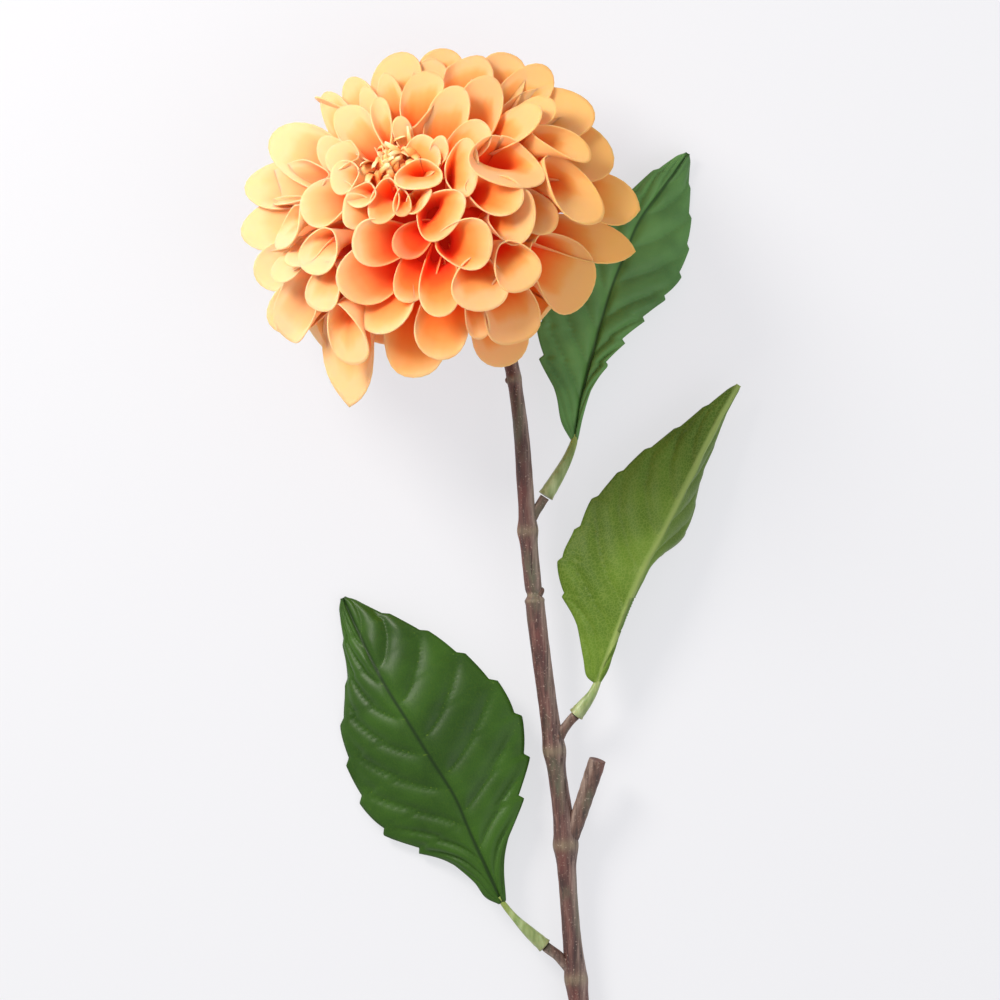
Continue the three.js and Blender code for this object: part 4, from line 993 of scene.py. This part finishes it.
# The side veins along the blade, how far they sweep towards the tip and how far they are moved along it,
# on the right and on the left.
VEIN_STEPS = 8.4
VEIN_SWEEPS = (1.5, 2.4)
VEIN_SHIFTS = (0.35, 0.0)
# The width of blade, in mm, from which it puffs up and waves in full.
FULL_WIDTH = 22.0
# The width of blade that the marks' flow stretches over.
FLOW_WIDTH = 60.0


def leaf_grid(rib, right, left, teeth, tooth, ridge):
    """A leaf blade as a grid from base to tip and from edge to edge, with its marks.

    Each row runs straight from the midrib to each edge, lifted by the arch times t (1 - t). The edge
    stands out by a saw: up a slow slope to 1 at 0.86 of each tooth, then down. Side veins leave the
    midrib at equal steps and sweep towards the tip with t^1.3. Between them the blade puffs up by the
    quilt's height times |sin|^0.6 of the vein's phase, and it rises by the ridge, or dips, along the
    midrib."""
    rows, half_columns = LEAF_CELLS
    s = np.linspace(0.0, 1.0, rows)
    spine = smooth_path(rib, s)
    phase = np.maximum(s - TOOTH_FROM, 0.0) / (1.0 - TOOTH_FROM) * teeth
    part = phase - np.floor(phase)
    saw = np.interp(part, [0.0, 0.5, 0.86, 1.0], [0.0, 0.55, 1.0, 0.0])
    saw = np.where(s < TOOTH_FROM, 0.0, saw) * tooth * np.minimum(1.0, 1.3 - s) * ease(1.0 - s, 0.0, 0.03)
    t = np.linspace(0.0, 1.0, half_columns)
    halves = []
    for side in (right, left):
        rim = smooth_path(side, s)
        rim = rim + saw[:, None] * unit(rim - spine + 1e-9)
        half = spine[:, None] + (rim - spine)[:, None] * t[None, :, None]
        half[..., 2] += LEAF_ARCH * t * (1.0 - t)
        halves.append(half)
    grid = np.concatenate([halves[0][:, :0:-1], halves[1]], axis=1)
    over = np.concatenate([t[:0:-1], t])[None, :]
    shift, sweep = (
        np.repeat(pair, (half_columns - 1, half_columns))[None, :] for pair in (VEIN_SHIFTS, VEIN_SWEEPS)
    )
    vein_phase = s[:, None] * VEIN_STEPS - sweep * over ** 1.3 - shift
    puff = np.abs(np.sin(np.pi * vein_phase)) ** 0.6
    width = np.linalg.norm(halves[0][:, -1] - halves[1][:, -1], axis=1)[:, None]
    room = np.minimum(width / FULL_WIDTH, 1.0)
    rib_dip = np.exp(-((over * width / 1.7) ** 2))
    lift = QUILT_HEIGHT * room * (puff - 0.6) * ease(over, 0.0, 0.18) * ease(1.0 - over, 0.0, 0.25)
    lift = lift + ridge * rib_dip * room
    wave = EDGE_WAVE * room * ease(over, 0.55, 1.0) * np.sin(s[:, None] * 21.0 + shift * 9.0)
    normals = surface_normals(grid)
    normals = normals * np.sign(normals[..., 2:])
    grid = grid + normals * (lift + wave)[..., None]
    marks = {
        "vein": 1.0 - np.abs(np.sin(np.pi * vein_phase)) * ease(over, -0.1, 0.05),
        "rib": rib_dip * np.ones_like(vein_phase),
    }
    uv = np.stack([
        np.concatenate([-t[:0:-1], t])[None, :] * width / FLOW_WIDTH + 0.5,
        np.broadcast_to(s[:, None], vein_phase.shape),
    ], axis=-1)
    return grid, normals, marks, uv


def build_leaves(leaf_looks):
    """The three blades: an upper and an under face set off by half a thickness, closed at their edges."""
    for place, form in LEAVES.items():
        grid, normals, marks, uv = leaf_grid(**form)
        rows, columns = grid.shape[:2]
        upper, under = grid + LEAF_HALF * normals, grid - LEAF_HALF * normals
        under[..., 2] = np.maximum(under[..., 2], 0.0)
        upper[..., 2] = np.maximum(upper[..., 2], 2.0 * LEAF_HALF)
        points = np.concatenate([upper.reshape(-1, 3), under.reshape(-1, 3)])
        marks = {key: np.tile(value.ravel(), 2) for key, value in marks.items()}
        marks["under"] = np.repeat([0.0, 1.0], rows * columns)
        flow = np.tile(uv.reshape(-1, 2), (2, 1))
        piece = new_mesh_object("blade_" + place, points, shell_faces(rows, columns), marks, flow)
        finish_piece(piece, leaf_looks[place], ["leaf_" + place])


# ---- Materials ----

# The middle of the deep gap that the petals part round, in the part's millimetres, and how far round
# it, in metres, they are redder.
HEART_GAP = np.array([-6.0, -9.0, 71.0]) + LAYOUT_SHIFT
HEART_FROM_TO = (0.006, 0.018)
# Where along x the petals get a painted shade in ochre on the right and a painted light in pale cream on the
# left, in metres.
PAINTED_SHADE_FROM_TO = (0.0, 0.036)
PAINTED_LIGHT_FROM_TO = (-0.024, -0.062)


class Look:
    """A material and short ways to add nodes to it."""

    def __init__(self, name, roughness, **constants):
        self.material = bpy.data.materials.new(name)
        self.material.use_nodes = True
        self.tree = self.material.node_tree
        self.shader = self.tree.nodes["Principled BSDF"]
        self.shader.inputs["Roughness"].default_value = roughness
        for socket, value in constants.items():
            self.shader.inputs[socket.replace("_", " ")].default_value = value

    def add(self, kind, values=None, **settings):
        """A node of a kind, with its settings, and values or links for its inputs."""
        node = self.tree.nodes.new(kind)
        for key, value in settings.items():
            setattr(node, key, value)
        for socket, value in (values or {}).items():
            self.put(node.inputs[socket], value)
        return node

    def put(self, socket, value):
        """Links an output to a socket, or sets the socket to a plain value."""
        if isinstance(value, bpy.types.NodeSocket):
            self.tree.links.new(value, socket)
        else:
            socket.default_value = value

    def mark(self, name):
        """A mark that the mesh carries at its points."""
        return self.add("ShaderNodeAttribute", attribute_name=name).outputs["Fac"]

    def place(self):
        """The point in the part's metres."""
        return self.add("ShaderNodeTexCoord").outputs["Object"]

    def flow(self):
        """The place on a blade or a tube, across and along."""
        return self.add("ShaderNodeUVMap", uv_map="flow").outputs["UV"]

    def stretched(self, coordinates, scale):
        """Coordinates scaled by a factor for each direction."""
        return self.add("ShaderNodeMapping", {"Vector": coordinates, "Scale": scale}).outputs["Vector"]

    def noise(self, coordinates, scale, detail=4.0, roughness=0.55):
        """Soft noise from 0 to 1."""
        return self.add("ShaderNodeTexNoise", {
            "Vector": coordinates, "Scale": scale, "Detail": detail, "Roughness": roughness,
        }).outputs["Fac"]

    def math(self, operation, first, second=0.0):
        """A sum, product or other operation on two values."""
        return self.add("ShaderNodeMath", {0: first, 1: second}, operation=operation).outputs[0]

    def span(self, value, low, high, to_low=0.0, to_high=1.0):
        """A value carried from one range to another, and held at its ends."""
        return self.add("ShaderNodeMapRange", {
            "Value": value, "From Min": low, "From Max": high, "To Min": to_low, "To Max": to_high,
        }).outputs["Result"]

    def ramp(self, value, stops):
        """A colour that runs through (share, colour) stops."""
        node = self.add("ShaderNodeValToRGB", {"Fac": value})
        band = node.color_ramp
        while len(band.elements) < len(stops):
            band.elements.new(0.5)
        for element, (at, colour) in zip(band.elements, stops):
            element.position = at
            element.color = (*linear(colour), 1.0)
        return node.outputs["Color"]

    def mix(self, share, first, second):
        """Two colours mixed by a share."""
        node = self.add("ShaderNodeMix", data_type="RGBA", clamp_factor=True)
        for index, value in ((0, share), (6, first), (7, second)):
            self.put(node.inputs[index], (*linear(value), 1.0) if isinstance(value, str) else value)
        return node.outputs[2]

    def bump(self, height, strength, distance, under=None):
        """A bumped normal, over another one if given."""
        values = {"Height": height, "Strength": strength, "Distance": distance}
        if under is not None:
            values["Normal"] = under
        return self.add("ShaderNodeBump", values).outputs["Normal"]

    def wear(self, **links):
        """Links the finished colours and normals to the shader, and gives the material."""
        for socket, value in links.items():
            self.put(self.shader.inputs[socket.replace("_", " ")], value)
        return self.material


def linear(hex_colour):
    """Linear light values of an sRGB colour written as #rrggbb."""
    parts = np.array([int(hex_colour[k:k + 2], 16) / 255.0 for k in (1, 3, 5)])
    return tuple(np.where(parts <= 0.04045, parts / 12.92, ((parts + 0.055) / 1.055) ** 2.4))


def petal_look():
    """Soft cloth petals: deep red-orange in the cups, orange then peach up the wall, cream rims; on the
    open parts a painted shade in ochre towards the right and a painted light in pale cream towards the
    left, and low in the cups and on the core a faint painted dark red glow.
    """
    look = Look("petal_cloth", 0.8, Sheen_Weight=0.05, Sheen_Roughness=0.5, Subsurface_Weight=0.5,
                Subsurface_Scale=0.004)
    look.shader.inputs["Subsurface Radius"].default_value = (1.0, 0.4, 0.15)
    look.shader.inputs["Specular IOR Level"].default_value = 0.3
    rise, inside, tone, pale = (look.mark(name) for name in ("rise", "inside", "tone", "pale"))
    flow = look.flow()
    fold = look.noise(look.stretched(flow, (5.0, 1.2, 1.0)), 1.3, 2.0)
    cloud = look.noise(look.place(), 55.0, 3.0)
    level = look.math("ADD", rise, look.math("MULTIPLY", look.math("SUBTRACT", fold, 0.5), 0.10))
    level = look.math("ADD", level, look.math("MULTIPLY", look.math("SUBTRACT", cloud, 0.5), 0.08))
    level = look.math("ADD", level, look.math("MULTIPLY", tone, 0.03))
    level = look.math("ADD", level, look.math("MULTIPLY", pale, 0.06))
    from_heart = look.add("ShaderNodeVectorMath", {0: look.place(), 1: tuple(HEART_GAP * MM)},
                          operation="DISTANCE").outputs["Value"]
    level = look.math("ADD", level, look.span(from_heart, *HEART_FROM_TO, -0.16, 0.0))
    cup = look.ramp(level, [
        (0.45, "#c81404"), (0.64, "#ec3408"), (0.80, "#fa5e1a"), (0.90, "#fb7e32"), (0.97, "#fb9c54"),
        (1.0, "#fcb078"),
    ])
    back = look.ramp(level, [
        (0.45, "#ec4a12"), (0.66, "#f8701f"), (0.84, "#fb9444"), (1.0, "#fcb078"),
    ])
    colour = look.mix(inside, back, cup)
    rim = look.math("MULTIPLY", look.span(rise, 0.95, 1.0), look.span(pale, 0.0, 1.0, 0.3, 0.0))
    colour = look.mix(rim, colour, "#fed8a8")
    # Painted shade and painted light: the open parts of the petals are tinted ochre towards the right,
    # standing in for shade, and pale cream towards the left, standing in for strong light.
    right_of_zero = look.add("ShaderNodeSeparateXYZ", {"Vector": look.place()}).outputs["X"]
    open_part = look.span(level, 0.7, 1.0, 0.1, 0.6)
    painted_shade = look.math("MULTIPLY", look.span(right_of_zero, *PAINTED_SHADE_FROM_TO), open_part)
    colour = look.mix(painted_shade, colour, "#e8a850")
    cream = look.math("MULTIPLY", look.span(right_of_zero, *PAINTED_LIGHT_FROM_TO, 0.0, 0.55), open_part)
    colour = look.mix(cream, colour, "#fee0b4")
    weave = look.noise(look.stretched(flow, (90.0, 30.0, 1.0)), 6.0, 2.0)
    soft = look.bump(fold, 0.25, 0.0006)
    cloth = look.bump(weave, 0.06, 0.00010, soft)
    # Painted glow: low in the cups and on the core the cloth gives off a faint dark red light of its own,
    # standing in for light that shines through the thin cloth.
    look.shader.inputs["Emission Strength"].default_value = 1.0
    through = look.ramp(level, [(0.0, "#5c0a02"), (0.72, "#4c0c02"), (0.92, "#000000")])
    return look.wear(Base_Color=colour, Normal=cloth, Emission_Color=through)


def tuft_look():
    """The eye's strips: red at the foot, pale yellow above, with darker tips here and there."""
    look = Look("tuft_cloth", 0.7, Sheen_Weight=0.05, Subsurface_Weight=0.3, Subsurface_Scale=0.003)
    rise, tone = look.mark("rise"), look.mark("tone")
    level = look.math("ADD", rise, look.math("MULTIPLY", tone, 0.08))
    colour = look.ramp(look.span(level, -0.4, 1.0), [
        (0.0, "#c8300e"), (0.35, "#e04c1a"), (0.6, "#f78c3e"), (0.78, "#fdc47c"), (1.0, "#fee6b0"),
    ])
    grain = look.noise(look.place(), 900.0, 3.0)
    colour = look.mix(look.span(grain, 0.55, 0.8, 0.0, 0.15), colour, "#f0b470")
    return look.wear(Base_Color=colour, Normal=look.bump(grain, 0.2, 0.0002))


def calyx_look():
    """Green bracts with paler tips and long fine lines."""
    look = Look("calyx_green", 0.5, Sheen_Weight=0.1)
    rise, tone = look.mark("rise"), look.mark("tone")
    grain = look.noise(look.place(), 420.0, 5.0)
    colour = look.ramp(look.math("ADD", rise, look.math("MULTIPLY", tone, 0.1)), [
        (0.0, "#4f6b2c"), (0.5, "#6d8a3f"), (1.0, "#93a659"),
    ])
    colour = look.mix(look.span(grain, 0.45, 0.75, 0.0, 0.35), colour, "#3f5524")
    return look.wear(Base_Color=colour, Normal=look.bump(grain, 0.25, 0.0003))


def bark_look():
    """Woody stem: purplish brown with grey and green streaks, tan rings at the knots, pale pith, and a
    painted highlight: a pale grey-tan stripe along one side of each tube.
    """
    look = Look("stem_bark", 0.58)
    place, knot, cut = look.place(), look.mark("knot"), look.mark("cut")
    streak = look.noise(look.stretched(place, (900.0, 60.0, 900.0)), 1.0, 6.0, 0.62)
    patch = look.noise(look.stretched(place, (160.0, 45.0, 160.0)), 1.0, 4.0)
    speck = look.noise(place, 1500.0, 2.0)
    colour = look.ramp(streak, [
        (0.25, "#2a1c19"), (0.45, "#4e302b"), (0.6, "#6a473f"), (0.8, "#93786b"),
    ])
    colour = look.mix(look.span(patch, 0.5, 0.66, 0.0, 0.75), colour, "#5c5e48")
    colour = look.mix(look.span(patch, 0.42, 0.3, 0.0, 0.6), colour, "#743a34")
    # Painted highlight: a pale grey-tan stripe at one angle round each tube, where the light catches it,
    # broken up by the streaks.
    side = look.add("ShaderNodeSeparateXYZ", {"Vector": look.flow()}).outputs["X"]
    left = look.span(look.math("ABSOLUTE", look.math("SUBTRACT", side, 0.42)), 0.05, 0.15, 0.6, 0.0)
    colour = look.mix(look.math("MULTIPLY", left, look.span(streak, 0.35, 0.6)), colour, "#a89488")
    slit = look.noise(look.stretched(place, (700.0, 28.0, 700.0)), 1.0, 1.0)
    colour = look.mix(look.span(slit, 0.70, 0.74, 0.0, 0.8), colour, "#2a1512")
    ring = look.math("MULTIPLY", knot, look.span(streak, 0.3, 0.6, 0.35, 1.0))
    colour = look.mix(look.math("MULTIPLY", ring, 0.55), colour, "#8f8468")
    colour = look.mix(look.span(speck, 0.62, 0.72, 0.0, 0.5), colour, "#c0a997")
    colour = look.mix(look.math("MULTIPLY", cut, 0.6), colour, "#6b4a3e")
    lines = look.bump(streak, 0.55, 0.0006)
    pores = look.bump(speck, 0.3, 0.0002, lines)
    roughness = look.span(streak, 0.3, 0.7, 0.46, 0.72)
    return look.wear(Base_Color=colour, Normal=pores, Roughness=roughness)


def sleeve_look():
    """Pale green sleeves, yellower at the blade and brown at the stub."""
    look = Look("sleeve_green", 0.42, Subsurface_Weight=0.08, Subsurface_Scale=0.003)
    rise = look.mark("rise")
    streak = look.noise(look.stretched(look.place(), (500.0, 120.0, 500.0)), 1.0, 4.0)
    colour = look.ramp(rise, [(0.0, "#6f6a42"), (0.12, "#8d9a62"), (0.55, "#7f9455"), (1.0, "#8a9a3c")])
    colour = look.mix(look.span(streak, 0.45, 0.7, 0.0, 0.6), colour, "#bcc894")
    colour = look.mix(look.span(streak, 0.45, 0.3, 0.0, 0.5), colour, "#5c7034")
    return look.wear(Base_Color=colour, Normal=look.bump(streak, 0.2, 0.0003))


def leaf_look(name, base, light, vein, rib, gloss, net):
    """A leaf blade: green with soft lighter clouds, thin paler side veins, a midrib in a colour given for it
    and a faint net. The net's strength is a share. Where the midrib lies in a valley, its dark colour is a
    painted shade of that valley."""
    look = Look("leaf_" + name, gloss)
    look.shader.inputs["Specular IOR Level"].default_value = 0.25
    place = look.place()
    flow = look.flow()
    cloud = look.noise(place, 45.0, 3.0)
    fine = look.noise(place, 700.0, 4.0)
    cells = look.add("ShaderNodeTexVoronoi", {
        "Vector": look.stretched(flow, (50.0, 80.0, 1.0)), "Scale": 1.2,
    }, feature="DISTANCE_TO_EDGE").outputs["Distance"]
    web = look.span(cells, 0.0, 0.12, 1.0, 0.0)
    colour = look.mix(look.span(cloud, 0.38, 0.66), base, light)
    colour = look.mix(look.span(fine, 0.5, 0.8, 0.0, 0.15), colour, light)
    colour = look.mix(look.math("MULTIPLY", web, net), colour, vein)
    broken = look.span(look.noise(flow, 14.0, 2.0), 0.4, 0.6, 0.25, 1.0)
    veins = look.math("MULTIPLY", look.span(look.mark("vein"), 0.93, 1.0), broken)
    colour = look.mix(look.math("MULTIPLY", veins, 0.6), colour, vein)
    # The midrib's band: on the upper and lower blades a dark green that is painted shade in the valley the
    # midrib lies in; on the middle blade its own pale colour.
    colour = look.mix(look.math("MULTIPLY", look.span(look.mark("rib"), 0.45, 0.9), 0.85), colour, rib)
    colour = look.mix(look.math("MULTIPLY", look.mark("under"), 0.5), colour, "#6b8848")
    ridges = look.bump(web, net * 0.5, 0.0003)
    grain = look.bump(fine, 0.12, 0.00015, ridges)
    roughness = look.span(cloud, 0.3, 0.7, gloss - 0.04, gloss + 0.06)
    return look.wear(Base_Color=colour, Normal=grain, Roughness=roughness)


# ---- Floor, light and camera ----

# The floor reaches this far each way, in metres, and lies this far under the part.
FLOOR_REACH = 4.0
FLOOR_DROP = 0.0001
FLOOR_GLOW = 0.66
# The lamps' power in watts, and the strength of the sky.
KEY_POWER = 5.3
FILL_POWER = 5.0
SKY_GLOW = 0.64


def build_stage():
    """A pale floor that gives off most of its own brightness, so that shadows on it stay faint."""
    look = Look("pale_floor", 0.9)
    look.shader.inputs["Base Color"].default_value = (0.2, 0.2, 0.205, 1.0)
    look.shader.inputs["Emission Color"].default_value = (0.97, 0.97, 1.0, 1.0)
    look.shader.inputs["Emission Strength"].default_value = FLOOR_GLOW
    mesh = bpy.data.meshes.new("floor")
    corners = np.array([(-1, -1, 0), (1, -1, 0), (1, 1, 0), (-1, 1, 0)]) * FLOOR_REACH
    mesh.from_pydata(corners.tolist(), [], [(0, 1, 2, 3)])
    floor = bpy.data.objects.new("floor", mesh)
    floor.location.z = -FLOOR_DROP
    floor.data.materials.append(look.material)
    bpy.context.scene.collection.objects.link(floor)


def add_lamp(name, place, target, size, power, colour):
    """A round lamp at a place, turned to a target."""
    lamp = bpy.data.lights.new(name, "AREA")
    lamp.shape = "DISK"
    lamp.size = size
    lamp.energy = power
    lamp.color = colour
    holder = bpy.data.objects.new(name, lamp)
    holder.location = place
    holder.rotation_euler = (Vector(target) - Vector(place)).to_track_quat("-Z", "Y").to_euler()
    bpy.context.scene.collection.objects.link(holder)


def build_light():
    """A big soft lamp high at the upper left, a weak one at the lower right, and an even sky."""
    add_lamp("key", (-0.42, 0.42, 0.5), (0.0, 0.05, 0.03), 0.3, KEY_POWER, (1.0, 0.95, 0.89))
    add_lamp("fill", (1.1, -0.6, 1.2), (0.0, 0.0, 0.03), 1.2, FILL_POWER, (0.95, 0.97, 1.0))
    world = bpy.data.worlds.new("sky")
    world.use_nodes = True
    ground = world.node_tree.nodes["Background"]
    ground.inputs["Color"].default_value = (0.96, 0.97, 1.0, 1.0)
    ground.inputs["Strength"].default_value = SKY_GLOW
    bpy.context.scene.world = world
    bpy.context.scene.view_settings.view_transform = "Standard"


# The view looks straight down, and takes in a square of this many metres at the height of the aim.
VIEW_WIDTH = 0.3
VIEW_AIM = np.array([19.5, -83.4, 40.0])
VIEW_DISTANCE = 5.0
SENSOR_WIDTH = 36.0


def build_camera():
    """A camera far above the flower with a long lens, so that it sees the flower almost flat on."""
    camera = bpy.data.cameras.new("camera")
    camera.sensor_width = SENSOR_WIDTH
    camera.lens = SENSOR_WIDTH * VIEW_DISTANCE / VIEW_WIDTH
    camera.clip_end = 20.0
    holder = bpy.data.objects.new("camera", camera)
    aim = (VIEW_AIM + LAYOUT_SHIFT) * MM
    holder.location = (aim[0], aim[1], aim[2] + VIEW_DISTANCE)
    bpy.context.scene.collection.objects.link(holder)
    bpy.context.scene.camera = holder


build_camera()
build_light()
build_stage()
petal_cloth = petal_look()
build_petals(petal_cloth)
build_core(petal_cloth)
tuft_cloth = tuft_look()
build_tuft(tuft_cloth)
build_button(tuft_cloth)
build_calyx(calyx_look())
bark = bark_look()
build_stem(bark)
build_twigs(bark)
build_sleeves(sleeve_look())
# The last colour given for each blade is its midrib's: on the upper and lower blades a painted shade of the
# midrib's valley.
build_leaves({
    # The upper blade's paler bluish green is partly its own colour and partly a painted sheen.
    "upper": leaf_look("upper", "#47703a", "#62914c", "#8aa858", "#21440f", 0.42, 0.05),
    "middle": leaf_look("middle", "#4a6616", "#5e7c20", "#8ea04a", "#96a85c", 0.5, 0.3),
    "lower": leaf_look("lower", "#24440a", "#345a12", "#82a02c", "#142c06", 0.42, 0.05),
})
